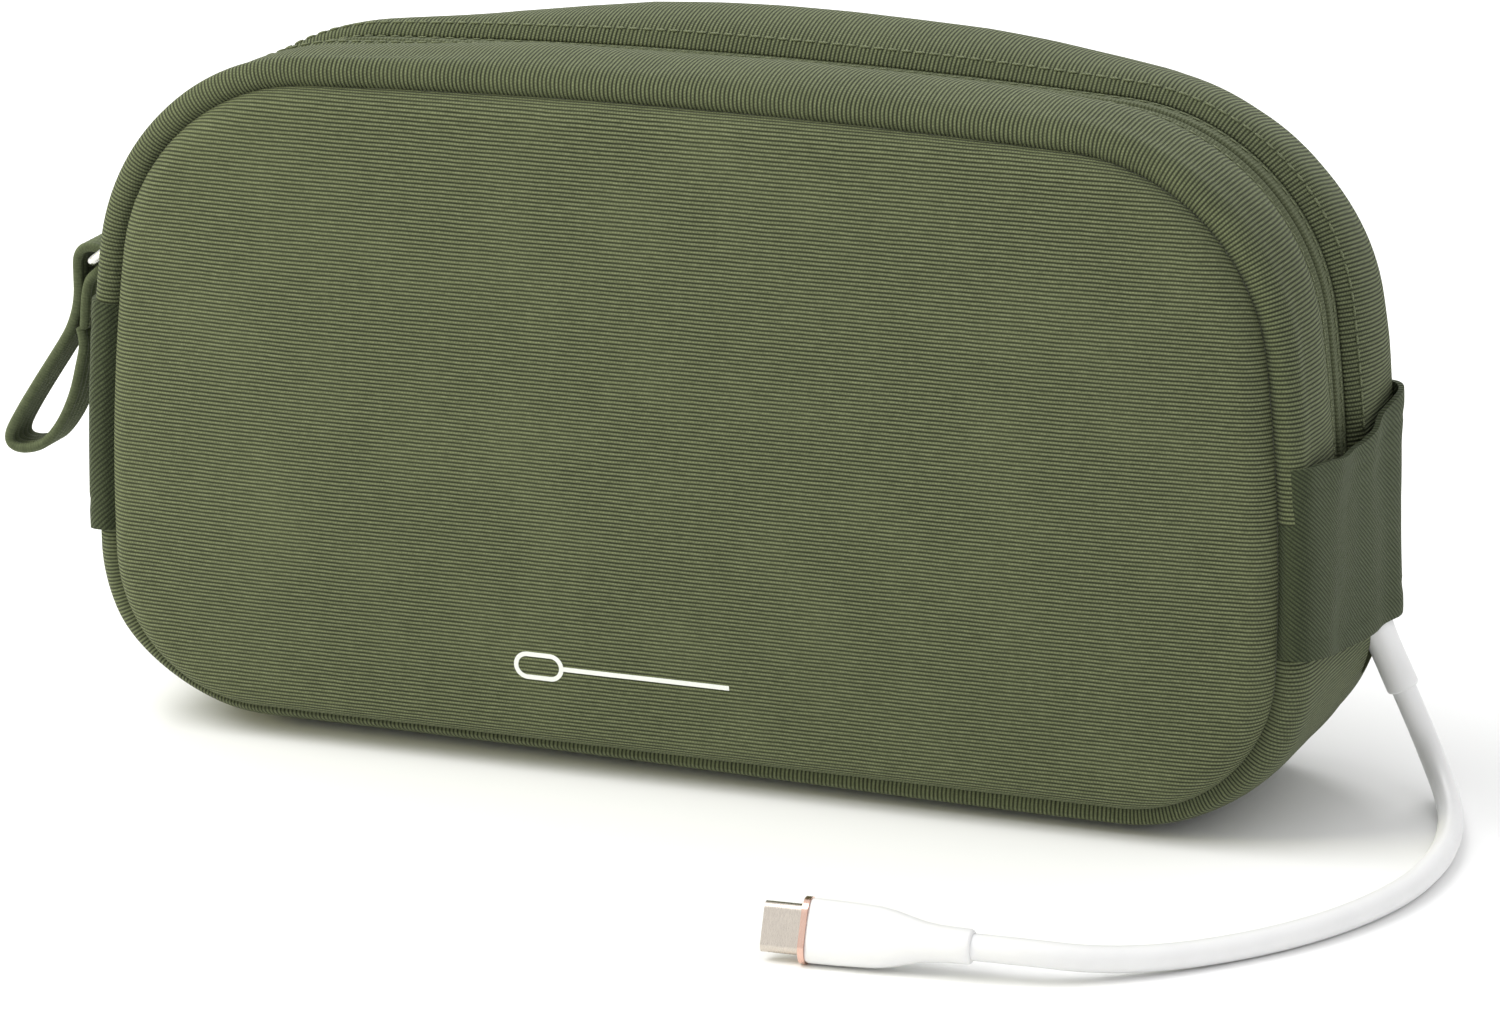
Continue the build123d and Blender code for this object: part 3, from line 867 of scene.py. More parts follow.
# %% Zip tapes
TAPE = [(-12.4, 3.05), (-9.0, 3.05), (-6.0, 3.1), (-3.6, 3.0), (-2.2, 2.7), (-1.3, 2.45),
        (-0.75, 2.6), (-0.5, 3.0), (-0.6, 3.4)]
for side, body, sign in HALVES:
    tape = lay("tape", TOP_FIRST, TOP_LAST, 2.0, half(TAPE, sign), 0.7)
    dress(tape, f"{side}_zip_tape_cloth", "zip_tape", body, [f"{side}_zip_tape"])

# %% Zip coils
COIL_FIRST, COIL_LAST = way_at(61.6), ROUND - way_at(61.6)
COIL_PITCH, COIL_WIRE, SIDES_OF_TURN = 1.25, 0.24, 8
COIL_INSET, COIL_HALF_HIGH, COIL_NEAR, COIL_DEEP = 4.55, 0.42, 0.95, 1.08
turns = int((COIL_LAST - COIL_FIRST) / COIL_PITCH)
for side, body, sign in HALVES:
    points = []
    for i in range(turns * SIDES_OF_TURN + 1):
        angle = math.tau * i / SIDES_OF_TURN
        way = COIL_FIRST + COIL_PITCH * (i / SIDES_OF_TURN + (0.5 if sign > 0 else 0))
        x, z, _, _ = place(min(way, COIL_LAST), COIL_INSET + COIL_HALF_HIGH * math.sin(angle))
        y = sign * (COIL_NEAR + COIL_DEEP * (1 - math.cos(angle)) / 2)
        points.append((x * MM, y * MM, z * MM))
    coil = round_line("coil", "POLY", points, COIL_WIRE * MM, 1)
    lone_select(coil)
    bpy.ops.object.convert(target="MESH")
    coil = bpy.context.object
    smooth(coil, 80)
    dress(coil, f"{side}_zip_coil_turns", "zip_coil", body, [f"{side}_zip_coil"])

# %% [markdown]
# ## The bottom gusset
# One long strip runs from the left-hand zip end, down and under the pouch, to the right-hand
# end. It is flat where it carries the pouch and softly folded up the sides. When the mouth
# opens, it stretches between the two halves; here it rides on neither of them. A slot lets the
# lead through.

# %% Bottom gusset
GUSSET_EDGE = [(26.0, 6.8), (26.7, 5.2)]
GUSSET_DEPTHS = [27.1, 26.4, 24.8, 22.6, 20.0, 17.0, 14.0, 11.0, 7.5, 4.0, 0.0]
UPRIGHT = [(0, 0.1), (11, 0.15), (17, 0.1), (20, 0.1), (22.6, 0.3), (24.8, 1.0), (26.4, 2.2),
           (27.1, 3.6)]
FOOT = [(0, 0.0), (10, 0.0), (14, 0.35), (17, 0.9), (20, 1.6), (22.6, 2.3), (24.8, 3.1),
        (26.4, 4.1), (27.1, 4.9)]
front_gusset = [(-d, i) for d, i in GUSSET_EDGE] + [(-d, 0.0) for d in GUSSET_DEPTHS]
GUSSET = front_gusset + [(-y, i) for y, i in reversed(front_gusset[:-1])]
BOTTOM_FIRST, BOTTOM_LAST = -ZIP_END, ZIP_END


def stretch(obj):
    """Bakes the piece's placement into its mesh; the piece rides on no body."""
    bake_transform(obj)


def gusset_face(way, y):
    """Inset of the gusset's outer face: rounded at the base, upright at the sides."""
    x, z, _, _ = place(way)
    side = ease((z - 1.5) / 17)
    depth = abs(y)
    foot = table_at(FOOT, depth) * (0.95 - 0.4 * ease((x + 60) / 130))
    inset = (1 - side) * foot + side * table_at(UPRIGHT, depth)
    free = ease((z - 4) / 14) * ease((27 - depth) / 5)
    fold = 0.5 * math.sin(y * 0.42 + 1.3 * swell(way, y, 0, 40, 2.2)) * swell(way, y, 3, 26, 6.0)
    banded = ease((z - 28) / 6)
    return inset - free * (1 - 0.7 * banded) * (fold + 0.5 * swell(way, y, 9, 24, 3.0))


def gusset_move(way, y, inset, share, across):
    if abs(y) < 27.2 and inset == 0.0:
        inset = gusset_face(way, y)
    return way, y, inset


gusset = lay("gusset", BOTTOM_FIRST, BOTTOM_LAST, 2.0, GUSSET, 0, gusset_move)
modify(gusset, "SUBSURF", levels=1, render_levels=1)
modify(gusset, "SOLIDIFY", thickness=0.9 * MM, offset=-1)

# %% [markdown]
# ## The port
# The lead comes out of a rounded slot under the right-hand band. A cylinder is squeezed to the
# slot's oval, wider at its top, and is taken out of the cloth with a Boolean modifier.

# %% Port slot
SLOT_Y, SLOT_Z, SLOT_REACH = 18.2, 27.4, 8.4
SLOT_WIDE, SLOT_WIDENS, SLOT_ROUND = 3.4, 2.2, 0.8
WALL_X, WALL_DEEP = 0.11, 0.03


def cut_out(obj, tool):
    modify(obj, "BOOLEAN", operation="DIFFERENCE", object=tool, solver="EXACT")


bpy.ops.object.select_all(action="DESELECT")
bpy.ops.mesh.primitive_cylinder_add(vertices=48, radius=1, depth=1)
slot = bpy.context.object
points = []
for x, y, z in get_points(slot):
    angle = math.atan2(y, x)
    height = SLOT_Z + SLOT_REACH * math.sin(angle)
    wide = SLOT_WIDE + SLOT_WIDENS * ease((height - 24) / 8)
    c = math.cos(angle)
    points.append((WALL_X + z * WALL_DEEP,
                   (SLOT_Y + wide * math.copysign(abs(c) ** SLOT_ROUND, c)) * MM, height * MM))
set_points(slot, points)
whole(slot, bpy.ops.mesh.normals_make_consistent, inside=False)
cut_out(gusset, slot)
bpy.data.objects.remove(slot, do_unlink=True)
smooth(gusset, 60)
dress(gusset, "bottom_gusset_cloth", "gusset_cloth", None, ["bottom_gusset"])
stretch(gusset)

# %% [markdown]
# ## Layers inside the gusset
# Foam, lining and a facing round the slot follow the gusset's face from within. The foam stops a
# few millimetres short of the zip, so that its pale ends stay hidden in the open mouth. A box cuts
# the plug's way through all three.

# %% Bottom foam and lining
LAYER_DEPTHS = np.linspace(-24.6, 24.6, 21)
GUSSET_FOAM = [(y, 1.0) for y in LAYER_DEPTHS] + [(y, 2.2) for y in reversed(LAYER_DEPTHS)]
GUSSET_FOAM.append(GUSSET_FOAM[0])


def under_gusset(way, y, inset, share, across):
    """A layer that lies this far under the gusset's outer face."""
    return way, y, gusset_face(way, y) + inset


FOAM_SHORT = 6.0
foam = lay("foam", BOTTOM_FIRST + FOAM_SHORT, BOTTOM_LAST - FOAM_SHORT, 4.0, GUSSET_FOAM, 0,
           under_gusset, tube=True)
PLUG_SIDE, WALL_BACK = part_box("inner_plug_sleeve")[0][1], 0.0265
bpy.ops.object.select_all(action="DESELECT")
bpy.ops.mesh.primitive_cube_add(size=1)
passage = bpy.context.object
passage.location = (WALL_X, (PLUG_SIDE + WALL_BACK) / 2, 0.031)
passage.scale = (WALL_DEEP, WALL_BACK - PLUG_SIDE + 0.0012, 0.026)
settle(passage)
cut_out(foam, passage)
dress(foam, "bottom_gusset_padding", "foam", None, ["bottom_gusset_foam"])
stretch(foam)
skin = lay("skin", BOTTOM_FIRST, BOTTOM_LAST, 3.0,
           [(y, 3.0) for y in np.linspace(-23.9, 23.9, 15)], -0.5, under_gusset)
cut_out(skin, passage)
dress(skin, "bottom_gusset_lining_cloth", "lining", None, ["bottom_gusset_lining"])
stretch(skin)
facing_low, facing_high = (np.array(corner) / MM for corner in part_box("cable_port_patch"))
facing_depths = np.linspace(facing_low[1], min(facing_high[1], 23.6), 9)
facing = lay("facing", way_at(facing_low[2]), way_at(facing_high[2]), 1.5,
             [(y, 3.8) for y in facing_depths], -0.6, under_gusset)
cut_out(facing, passage)
dress(facing, "cable_port_facing", "binding", None, ["cable_port_patch"])
stretch(facing)
bpy.data.objects.remove(passage, do_unlink=True)

# %% [markdown]
# ## The side bands
# A band is caught in both panel seams and lies over the gusset. Its hemmed top edge dips and
# gapes a little in the middle, its lower edge slants back, and soft folds run from edge to
# edge. A shallow groove along each hem is where its sewing pulls it in. The right-hand band
# rides over the plug's sleeve.

# %% Side bands
BAND_Y = flow([(-26.0, 6.0), (-26.9, 4.8), (-27.9, 3.4), (-27.6, 1.3), (-25.9, -0.2),
               (-22.5, -1.0), (-16.0, -1.2), (-8.0, -1.2), (0.0, -1.1), (8.0, -1.2), (16.0, -1.2),
               (22.5, -1.0), (25.9, -0.2), (27.6, 1.3), (27.9, 3.4), (26.9, 4.8), (26.0, 6.0)], 4)
BAND_TOP = [(-28, 67.6), (-20, 67.2), (-10, 65.6), (0, 65.2), (10, 66.4), (20, 68.4), (28, 69.2)]
BAND_FOOT = [(-28, 34.6), (-20, 33.6), (-10, 31.6), (0, 30.6), (10, 30.0), (20, 29.6), (28, 29.6)]
BAND_HEMS, HEM_GROOVE, HEM_WIDE = (0.885, 0.115), 0.22, 0.018
LEFT_SPARE, RIGHT_BULGE = 8.5, 1.2


def band(side, seed):
    """One band, laid on the right-hand end and mirrored if it is the left one."""

    def drape(way, y, inset, share, across):
        spare = LEFT_SPARE * ease((24 - y) / 50) if side < 0 else 0.0
        foot, top = way_at(table_at(BAND_FOOT, y)), way_at(table_at(BAND_TOP, y) + spare)
        way = foot + (top - foot) * share
        free = math.sin(math.pi * across) ** 0.7
        fold = 0.5 * math.sin(0.33 * y + 2.2 * swell(way * 0.35, y, seed, 30, seed))
        fold += 0.85 * swell(way * 0.4, y, 0, 11, seed + 1.5)
        gape = 1.0 * ease((share - 0.72) / 0.28) * free + 0.4 * ease((0.2 - share) / 0.2) * free
        into_hem = HEM_GROOVE * sum(math.exp(-((share - hem) / HEM_WIDE) ** 2) for hem in BAND_HEMS)
        lift = free * (0.15 + fold * (0.55 + 0.45 * abs(2 * share - 1))) + gape
        if side < 0:
            lift *= 0.35 * ease(share / 0.2)
            y *= 1.018
        else:
            lift += RIGHT_BULGE * math.exp(-((y - SLOT_Y) / 6.5) ** 2) * ease(1 - share / 0.4)
        return way, y, inset - max(lift, -0.1 * free) + into_hem

    obj = lay("band", 0.0, 36.0, 0.9, BAND_Y, 0, drape)
    modify(obj, "SOLIDIFY", thickness=0.95 * MM, offset=-1)
    if side < 0:
        turned = get_points(obj)
        turned[:, 0] *= -1
        set_points(obj, turned)
        whole(obj, bpy.ops.mesh.flip_normals)
    return obj


for side, word, seed, width in ((1, "right", 5.3, 0.036), (-1, "left", 9.1, 0.0398)):
    piece = band(side, seed)
    smooth(piece, 60)
    dress(piece, f"{word}_band_cloth", "band_cloth", None, [f"{word}_side_band"])
    stretch(piece)

# %% [markdown]
# ## The crowned panels
# A panel is one cut of ribbed cloth over thin foam. Sewing draws its rim down into the seam and
# the foam swells behind it, so it rises in a tight roll and then crowns slowly towards the middle.
# The grid is stretched from four sides to fill the outline, and each point is raised by its
# distance to the seam.

# %% Panel surface
SEAM_IN, SEAM_FACE = 5.2, -26.2
ROLL, ROLL_RISE, ROLL_POWER = 4.6, 4.2, 2.2
CROWN, CROWN_REACH = 2.7, 46.0
SEAM = np.array([place(ROUND * k / 2400, SEAM_IN) for k in range(2400)])
SEAM_LINE, SEAM_OUT = SEAM[:, :2], SEAM[:, 2:]


def panel_rise(x, z):
    """How far the panel stands out from its seam at a place in millimetres."""
    d = math.sqrt(((SEAM_LINE[:, 0] - x) ** 2 + (SEAM_LINE[:, 1] - z) ** 2).min())
    roll = math.sqrt(max(0.0, 1 - (1 - min(d / ROLL, 1)) ** ROLL_POWER))
    slow = 1 - (1 - min(d / CROWN_REACH, 1)) ** 2
    even = 0.30 * swell(x, 0, z, 42, 7.7) + 0.12 * swell(x, 3, z, 17, 1.1)
    return ROLL_RISE * roll + CROWN * slow + even * min(d / 12, 1)


ROLL_STEPS = np.linspace(0, ROLL, 400)
ROLL_RISES = ROLL_RISE * np.sqrt(1 - (1 - ROLL_STEPS / ROLL) ** ROLL_POWER)
ROLL_WAYS = np.concatenate([[0], np.cumsum(np.hypot(np.diff(ROLL_STEPS), np.diff(ROLL_RISES)))])


def panel_flat(x, z):
    """Where a place on the panel lies on the flat cloth: the roll is unrolled outwards."""
    far = ((SEAM_LINE[:, 0] - x) ** 2 + (SEAM_LINE[:, 1] - z) ** 2)
    nearest = int(far.argmin())
    d = min(math.sqrt(far[nearest]), ROLL)
    extra = (ROLL_WAYS[-1] - np.interp(d, ROLL_STEPS, ROLL_WAYS)) - (ROLL - d)
    return ((x + SEAM_OUT[nearest, 0] * extra) * MM, (z + SEAM_OUT[nearest, 1] * extra) * MM)


print("panel stands out by", round(panel_rise(0, 60), 1), "mm in its middle")

# %% [markdown]
# ## From four sides to a rounded rim
# The grid's four edges are laid on a line inside the outline, from corner to corner, and its
# inner points follow from them. Four sides alone would crease at the corners, so the rim is
# then extruded outwards ring by ring, and each of its points keeps to its own way round the
# outline.


# %% Panel sheets
def corner_ways():
    """Ways of the four middles of the outline's corners."""
    low = HALF_BASE + ARC_LENGTHS[0] / 2
    high = HALF_BASE + ARC_LENGTHS[0] + ARC_LENGTHS[1] + ARC_LENGTHS[2] / 2
    return low, high, ROUND - high, ROUND - low


def graded(count):
    """Shares from 0 to 1, closer together at both ends."""
    return [(0.5 - 0.5 * math.cos(math.pi * k / count)) * 0.8 + 0.2 * k / count
            for k in range(count + 1)]


RIM_RINGS = [14.0, 12.0, 10.4, 9.2, 8.3, 7.5, 6.8, 6.2, 5.75, 5.4, SEAM_IN]


def panel_sheet(name, sign, face, high=1.0, thick=0.9, wide=132, tall=84, rings=RIM_RINGS):
    """A grid that fills the outline. High scales its rise, and sign is -1 at the front."""
    flat_spots = {}

    def on_face(x, z):
        rise = panel_rise(x, z) * high if high else 0.0
        spot = Vector([c * MM for c in sag(x, sign * (abs(face) + rise), z)])
        flat_spots[tuple(spot)] = panel_flat(x, z) if high else (x * MM, z * MM)
        return spot

    obj, columns, rows = grid(name, wide, tall)
    us, vs = graded(wide), graded(tall)
    low_r, high_r, high_l, low_l = corner_ways()
    ways = {}
    for i, u in enumerate(us):
        ways[i, 0] = low_l - ROUND + (low_r - low_l + ROUND) * u
        ways[i, tall] = high_l + (high_r - high_l) * u
    for j, v in enumerate(vs):
        ways[0, j] = low_l + (high_l - low_l) * v
        ways[wide, j] = low_r + (high_r - low_r) * v
    edge = {at: np.array(place(way, rings[0])[:2]) for at, way in ways.items()}
    points = []
    for i, j in zip(columns, rows):
        u, v = us[i], vs[j]
        spot = (1 - v) * edge[i, 0] + v * edge[i, tall] + (1 - u) * edge[0, j] + u * edge[wide, j]
        spot = spot - ((1 - u) * (1 - v) * edge[0, 0] + u * (1 - v) * edge[wide, 0]
                       + (1 - u) * v * edge[0, tall] + u * v * edge[wide, tall])
        points.append(on_face(*spot))
    set_points(obj, points)
    settled = get_points(obj)
    rim_way = {tuple(settled[k]): ways[at] for k, at in enumerate(zip(columns, rows)) if at in ways}
    edit(obj)
    bpy.ops.mesh.select_non_manifold(extend=False)
    for ring in rings[1:]:
        bpy.ops.mesh.extrude_edges_move()
        leave_edit()
        moved = {}
        for vertex in obj.data.vertices:
            if vertex.select:
                way = rim_way[tuple(vertex.co)]
                vertex.co = on_face(*place(way, ring)[:2])
                moved[tuple(vertex.co)] = way
        rim_way = moved
        bpy.ops.object.mode_set(mode="EDIT")
    leave_edit()
    map_cloth(obj, [flat_spots[tuple(Vector(point))] for point in get_points(obj)])
    face_y(obj, sign)
    modify(obj, "SOLIDIFY", thickness=thick * MM, offset=-1)
    smooth(obj, 60)
    return obj


# %% Covers, foam and linings
for side, body, sign in HALVES:
    cover = panel_sheet("cover", sign, SEAM_FACE)
    dress(cover, f"{side}_panel_cloth", "panel_cloth", body, [f"{side}_panel"])
    pad = panel_sheet("pad", sign, 26.9, high=0.6, thick=2.0, wide=60, tall=36, rings=RIM_RINGS[:6])
    dress(pad, f"{side}_panel_padding", "foam", body, [f"{side}_foam"])
    inner = panel_sheet("inner", sign, 26.4, high=0, thick=-0.5, wide=60, tall=36)
    dress(inner, f"{side}_lining_cloth", "lining", body, [f"{side}_lining"])

# %% [markdown]
# ## The pocket and the loops inside
# The front lining carries a flat net pocket whose top edge is bound. The back lining carries a
# band of elastic, tacked at even steps, which bows a little between the tacks. Each is a grid
# whose points are moved out from the lining: all the way at the open middle, and not at all
# where it is sewn down.

# %% Pocket and loops
POCKET_HALF, POCKET_FOOT, POCKET_TOP, POCKET_DEEP, HEM_HIGH = 75.0, 14.0, 64.0, 2.8, 8.0
LOOP_HALF, LOOP_FOOT, LOOP_TOP, LOOP_TACKS = 75.0, 56.0, 81.0, 5
LINING_FACE = 26.2


def flat_piece(name, low, high, sign, stand, wide, tall, thick):
    """A grid over x and z in millimetres. Stand tells how far a place is off the lining."""
    obj, columns, rows = grid(name, wide, tall)
    spots = [(low[0] + column / wide * (high[0] - low[0]), low[1] + row / tall * (high[1] - low[1]))
             for column, row in zip(columns, rows)]
    map_cloth(obj, [(x * MM, z * MM) for x, z in spots])
    set_points(obj, [[c * MM for c in sag(x, sign * (LINING_FACE - stand(x, z)), z)]
                     for x, z in spots])
    face_y(obj, -sign)
    modify(obj, "SOLIDIFY", thickness=thick * MM, offset=1)
    smooth(obj, 60)
    return obj


def pocket_stand(x, z):
    across = max(0.0, 1 - abs(x / POCKET_HALF) ** 8)
    up = min((z - POCKET_FOOT) / 7, 1) ** 0.6 if z > POCKET_FOOT else 0.0
    top = 0.5 * ease((z - 40) / 24) * math.cos(x / POCKET_HALF * math.pi / 2)
    return (POCKET_DEEP * (0.8 + 0.2 * swell(x, z, 3, 30, 2.2)) + top) * across * up


def loop_stand(x, z):
    step = 2 * LOOP_HALF / (LOOP_TACKS - 1)
    return 0.1 + 1.3 * abs(math.sin(math.pi * (x + LOOP_HALF) / step)) ** 0.7


net = flat_piece("net", (-POCKET_HALF, POCKET_FOOT), (POCKET_HALF, POCKET_TOP - 1), -1,
                 pocket_stand, 100, 36, 0.3)
dress(net, "mesh_pocket_net", "mesh", "front_half", ["mesh_pocket"])
hem = flat_piece("hem", (-POCKET_HALF, POCKET_TOP - HEM_HIGH), (POCKET_HALF, POCKET_TOP), -1,
                 lambda x, z: pocket_stand(x, z) + 0.35, 100, 6, 0.7)
dress(hem, "mesh_pocket_hem", "binding", "front_half", ["mesh_pocket_binding"])
loops = flat_piece("loops", (-LOOP_HALF, LOOP_FOOT), (LOOP_HALF, LOOP_TOP), 1,
                   loop_stand, 120, 10, 1.1)
dress(loops, "elastic_loops", "elastic", "root", ["elastic_loop_band"])

# %% [markdown]
# ## Bound seams inside
# The raw seam edges would fray, so a tape is folded over them. It is a soft flattened tube that
# follows the outline just inside the lining.

# %% Seam binding
BINDING = [(-26.0, 5.6), (-25.4, 5.3), (-24.6, 5.3), (-24.2, 5.8), (-24.1, 8.0), (-24.2, 10.0),
           (-24.6, 10.5), (-25.5, 10.5), (-26.0, 10.2), (-26.1, 8.0), (-26.0, 5.6)]
for side, body, sign in HALVES:
    tape = lay("binding", 0.0, ROUND, 3.0, half(BINDING, sign), 0, tube=True)
    whole(tape, bpy.ops.mesh.remove_doubles, threshold=2e-5)
    dress(tape, f"{side}_seam_binding_tape", "binding", body, [f"{side}_seam_binding"])

# %% [markdown]
# ## Stitches
# A stitch is a short thread that dips into the cloth at both ends. One is modelled from a
# sphere, then copied along a line and joined, so a row of stitches is one piece.


# %% Stitch maker
def stitch_row(name, spots, long_mm, thick_mm, body):
    """Copies one stitch to each (place, direction, outward) and joins the row."""
    bpy.ops.object.select_all(action="DESELECT")
    bpy.ops.mesh.primitive_uv_sphere_add(segments=6, ring_count=5, radius=1)
    seed = bpy.context.object
    seed.scale = (long_mm / 2 * MM, thick_mm / 2 * MM, thick_mm / 2 * MM * 0.8)
    settle(seed)
    bpy.ops.object.shade_smooth()
    shape = get_points(seed)
    copies = []
    for spot, way, up in spots:
        along = Vector(way).normalized()
        outward = Vector(up)
        outward = (outward - along * outward.dot(along)).normalized()
        copy = seed.copy()
        copy.data = seed.data.copy()
        bpy.context.scene.collection.objects.link(copy)
        set_points(copy, shape @ np.array([along, outward.cross(along), outward]) + np.array(spot))
        copies.append(copy)
    bpy.data.objects.remove(seed, do_unlink=True)
    row = dress(join(copies), name, "binding", body)
    row.data.materials.clear()
    row.data.materials.append(paints["thread"])


# %% Zip stitches
EDGE_DEPTH, EDGE_INSET, EDGE_STEP = 8.6, 0.45, 2.5
TAPE_DEPTH, TAPE_INSET, TAPE_STEP = 4.9, 2.95, 2.6
for side, body, sign in HALVES:
    spots = []
    for way in np.arange(TOP_FIRST + 8, TOP_LAST - 8, EDGE_STEP):
        share = (way - TOP_FIRST) / (TOP_LAST - TOP_FIRST)
        _, y, inset = MOVES[side](way, sign * EDGE_DEPTH, EDGE_INSET, share, 0.8)
        x, z, nx, nz = place(way, inset)
        x, y, z = sag(x, y, z)
        spots.append(((x * MM, y * MM, z * MM), (-nz, 0, nx), (nx * 0.8, -0.6 * sign, nz * 0.8)))
    stitch_row(f"{side}_edge_stitches", spots, 2.1, 0.55, body)
    spots = []
    for k in range(int((TOP_LAST - TOP_FIRST - 4) / TAPE_STEP)):
        x, z, nx, nz = place(TOP_FIRST + 2 + TAPE_STEP * (k + 0.5), TAPE_INSET)
        spots.append(((x * MM, sign * TAPE_DEPTH * MM, z * MM), (-nz, 0, nx), (nx, 0, nz)))
    stitch_row(f"{side}_tape_stitches", spots, 1.9, 0.4, body)

# %% [markdown]
# ## The webbing pull
# A length of ribbed webbing goes through the ring, its two legs are stitched together below it,
# and the rest hangs open as a finger loop. The strap's line is drawn once in the plane of the
# pouch's front; a grid as long as the strap is bent along it, and its ribs are part of the
# mesh.

# %% Webbing pull
BAR = (-120.676, 76.701)  # the ring's outer bar, which the line below is drawn from
STRAP_THICK, STRAP_WIDE = 1.3, 9.0
STRAP_LINE = [(-2.5, -13.0), (-2.25, -9.6), (-1.95, -6.6), (-1.1, -3.8), (0.9, -1.8), (1.95, 0.0),
              (1.4, 1.6), (-0.3, 2.3), (-2.3, 1.8), (-3.4, 0.0), (-3.5, -3.2), (-3.5, -6.6),
              (-4.1, -10.0), (-5.6, -13.8), (-8.8, -18.9), (-12.3, -24.2), (-15.7, -29.6),
              (-17.9, -33.8), (-17.4, -35.9), (-14.6, -36.3), (-10.8, -34.8), (-7.4, -30.6),
              (-4.9, -25.2), (-3.5, -20.0), (-2.7, -15.8), (-3.3, -12.6)]
STRAP_RIBS = 5


RIB_HIGH, EDGE_LOW, STRAP_WAVER = 0.30, 0.35, 0.10


def strap(name, line, steps, thick, wide, ribs):
    """Webbing bent along a line of (x, z) points, ribbed lengthwise on both faces."""
    middle = flow(line, steps)
    last, across = len(middle) - 1, ribs * 4
    obj, rows, columns = grid(name, last, across)
    travel = [0.0]
    for a, b in zip(middle, middle[1:]):
        travel.append(travel[-1] + float(np.linalg.norm(b - a)))
    points = []
    for row, column in zip(rows, columns):
        along = middle[min(row + 1, last)] - middle[max(row - 1, 0)]
        along = along / np.linalg.norm(along)
        spot = middle[row] + np.array([-along[1], along[0]]) * (thick / 2)
        points.append(((BAR[0] + spot[0]) * MM, (column / across - 0.5) * wide * MM,
                       (BAR[1] + spot[1]) * MM))
    set_points(obj, points)
    map_cloth(obj, [(travel[row] * MM, column / across * wide * MM)
                    for row, column in zip(rows, columns)])
    modify(obj, "SOLIDIFY", thickness=thick * MM, offset=-1)
    # Solidify puts the second face's points after the first's, in the same order
    points = get_points(obj)
    count = len(points) // 2
    for index in range(len(points)):
        row, column = rows[index % count], columns[index % count]
        outward = points[index] - points[(index + count) % len(points)]
        outward = outward / (np.linalg.norm(outward) + 1e-12)
        rib = 0.5 - 0.5 * math.cos(math.tau * column / across * ribs)
        low = 0.0 if 0 < column < across else EDGE_LOW
        points[index] = points[index] + outward * (RIB_HIGH * rib - low) * MM
        points[index][1] += STRAP_WAVER * MM * swell(travel[row], column, 0, 6, 3.3)
    set_points(obj, points)
    return obj


pull = strap("pull", STRAP_LINE, 5, STRAP_THICK, STRAP_WIDE, STRAP_RIBS)
whole(pull, bpy.ops.mesh.normals_make_consistent, inside=False)
modify(pull, "SUBSURF", levels=1, render_levels=1)
smooth(pull, 70)
dress(pull, "finger_loop", "webbing", "pull_loop", ["pull_webbing"])
pull_spots = []
for depth in (-3.4, 3.4):
    for k in range(6):
        z = -4.6 - 1.45 * k
        pull_spots.append((((BAR[0] - 1.0 - 0.09 * k) * MM, depth * MM, (BAR[1] + z) * MM),
                           (-0.1, 0, -1), (1, 0, 0)))
for k in range(4):
    y = -2.4 + 1.6 * k
    pull_spots.append((((BAR[0] - 1.75) * MM, y * MM, (BAR[1] - 12.3) * MM), (0, 1, 0), (1, 0, 0)))
stitch_row("finger_loop_stitches", pull_spots, 1.25, 0.34, "pull_loop")

# %% [markdown]
# ## The printed mark
# A thin white print sits on the panel: a plain line that ends in a small open loop. It has to
# follow the crowned cloth, so each of its points is dropped onto the panel's surface.

# %% Printed mark
mark_low, mark_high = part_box("printed_mark")
MARK_X, MARK_Z = [(mark_low[k] + mark_high[k]) / 2 / MM for k in (0, 2)]
MARK_LONG, MARK_HIGH, MARK_LINE = 40.0, 5.0, 0.8
PRINT_OFF, PRINT_THICK, OVAL_STEPS, BAR_STEPS = 0.10, 0.12, 48, 24


def print_line(name, line, width):
    """A ribbon of print along (x, z) points, laid on the panel."""
    last = len(line) - 1
    obj, rows, sides = grid(name, last, 1)
    points = []
    for row, side in zip(rows, sides):
        a, b = line[max(row - 1, 0)], line[min(row + 1, last)]
        if np.allclose(line[0], line[-1]) and row in (0, last):
            a, b = line[-2], line[1]
        way = np.array(b) - np.array(a)
        way = way / np.linalg.norm(way)
        x, z = np.array(line[row]) + np.array([-way[1], way[0]]) * (side - 0.5) * width
        points.append((x * MM, (SEAM_FACE - panel_rise(x, z) - PRINT_OFF) * MM, z * MM))
    set_points(obj, points)
    return obj


loop_x = MARK_X - MARK_LONG / 2 + MARK_HIGH
reach_in = (MARK_HIGH - MARK_LINE) / 2
oval = []
for k in range(OVAL_STEPS):
    c, s = (reach_in * turn(math.tau * (k + 0.5) / OVAL_STEPS) for turn in (math.cos, math.sin))
    oval.append((loop_x + math.copysign(reach_in, c) + c, MARK_Z + s))
oval.append(oval[0])
line_from = loop_x + 2 * reach_in + MARK_LINE / 2
line_long = MARK_X + MARK_LONG / 2 - line_from
bar = [(line_from + line_long * k / BAR_STEPS, MARK_Z) for k in range(BAR_STEPS + 1)]
mark = join([print_line("mark_oval", oval, MARK_LINE), print_line("mark_bar", bar, MARK_LINE)])
face_y(mark, -1)
modify(mark, "SOLIDIFY", thickness=PRINT_THICK * MM, offset=-1)
dress(mark, "printed_line", "print", "front_half", ["printed_mark"])

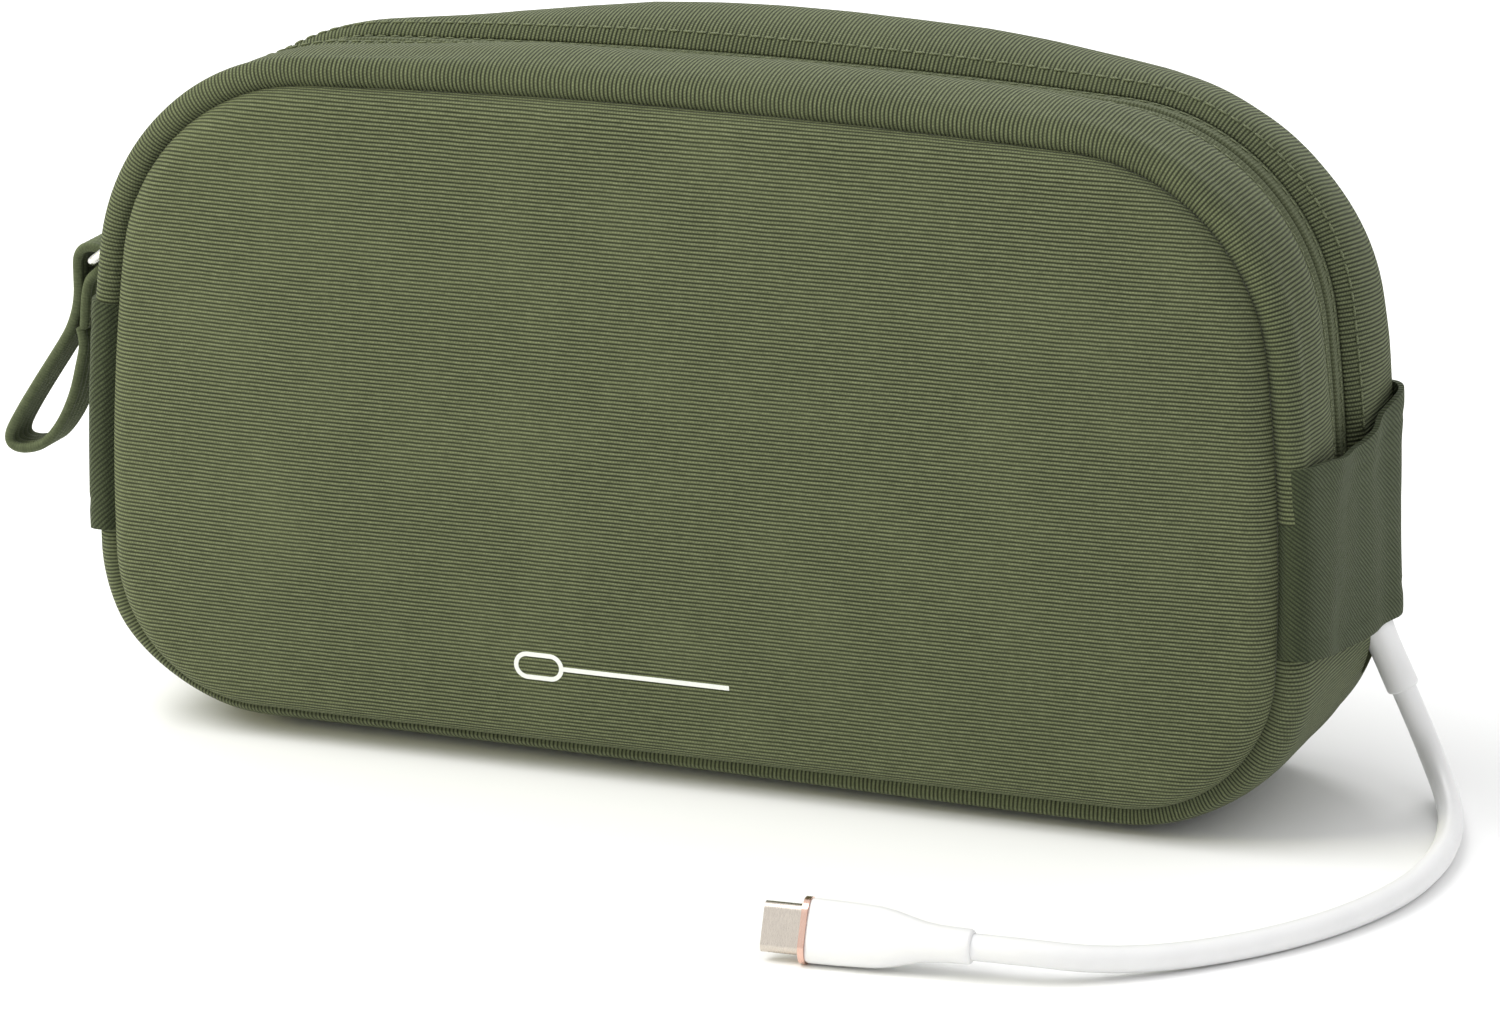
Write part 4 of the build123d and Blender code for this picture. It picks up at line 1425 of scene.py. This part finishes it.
# %% [markdown]
# ## Finishes on the carried pieces
# The slider, its bridge, the ring, the flanges, shells and tongues have their true shape in the
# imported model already, so they stay and only get a finish.

# %% Carried pieces
SLOTS = {row["node"]: row["material_slot"] for row in frame["record"]["subparts"]}
for name, node in nodes.items():
    node.data.materials.clear()
    node.data.materials.append(paints[SLOTS[name]])
print("finished nodes:", len(nodes))

# %% [markdown]
# ## Floor and light
# A pale floor and a pale surround, a wide soft light from the upper left, a small warm glow low
# on the left and a weak light from behind give the soft shadow that falls to the right of the
# pouch.

# %% Floor and light
bpy.ops.object.select_all(action="DESELECT")
bpy.ops.mesh.primitive_grid_add(x_subdivisions=8, y_subdivisions=8, size=8)
floor = bpy.context.object
floor.name = "floor"
floor_paint, made, surface = shader("floor")
spot = made.node("ShaderNodeTexCoord").outputs["Object"]
made.feed(made.mix(made.noise(spot, 3.0), (0.90, 0.90, 0.90, 1), (0.93, 0.93, 0.93, 1)),
          surface.inputs["Base Color"])
even(surface, Roughness=0.9, Specular_IOR_Level=0.1)
floor.data.materials.append(floor_paint)

world = bpy.data.worlds.new("surround")
bpy.context.scene.world = world
world.use_nodes = True
surround = world.node_tree.nodes["Background"]
surround.inputs["Color"].default_value = (1, 1, 1, 1)
surround.inputs["Strength"].default_value = 0.93


def soft_light(name, spot, size, power, tint=(1, 1, 1), aim=(0, 0, 0.06)):
    """A round area light that looks at its aim."""
    data = bpy.data.lights.new(name, "AREA")
    data.shape = "DISK"
    data.size, data.energy, data.color = size, power, tint
    light = bpy.data.objects.new(name, data)
    bpy.context.scene.collection.objects.link(light)
    light.location = spot
    light.rotation_euler = (Vector(aim) - Vector(spot)).to_track_quat("-Z", "Y").to_euler()


soft_light("key", (-0.9, -0.6, 1.5), 1.5, 21.5)
soft_light("left glow", (-0.75, -0.55, 0.30), 0.25, 1.6, (1.0, 0.96, 0.30), (-0.09, -0.03, 0.10))
soft_light("rim", (-0.5, 1.2, 1.0), 0.6, 8.0)
bpy.context.scene.view_settings.view_transform = "Standard"
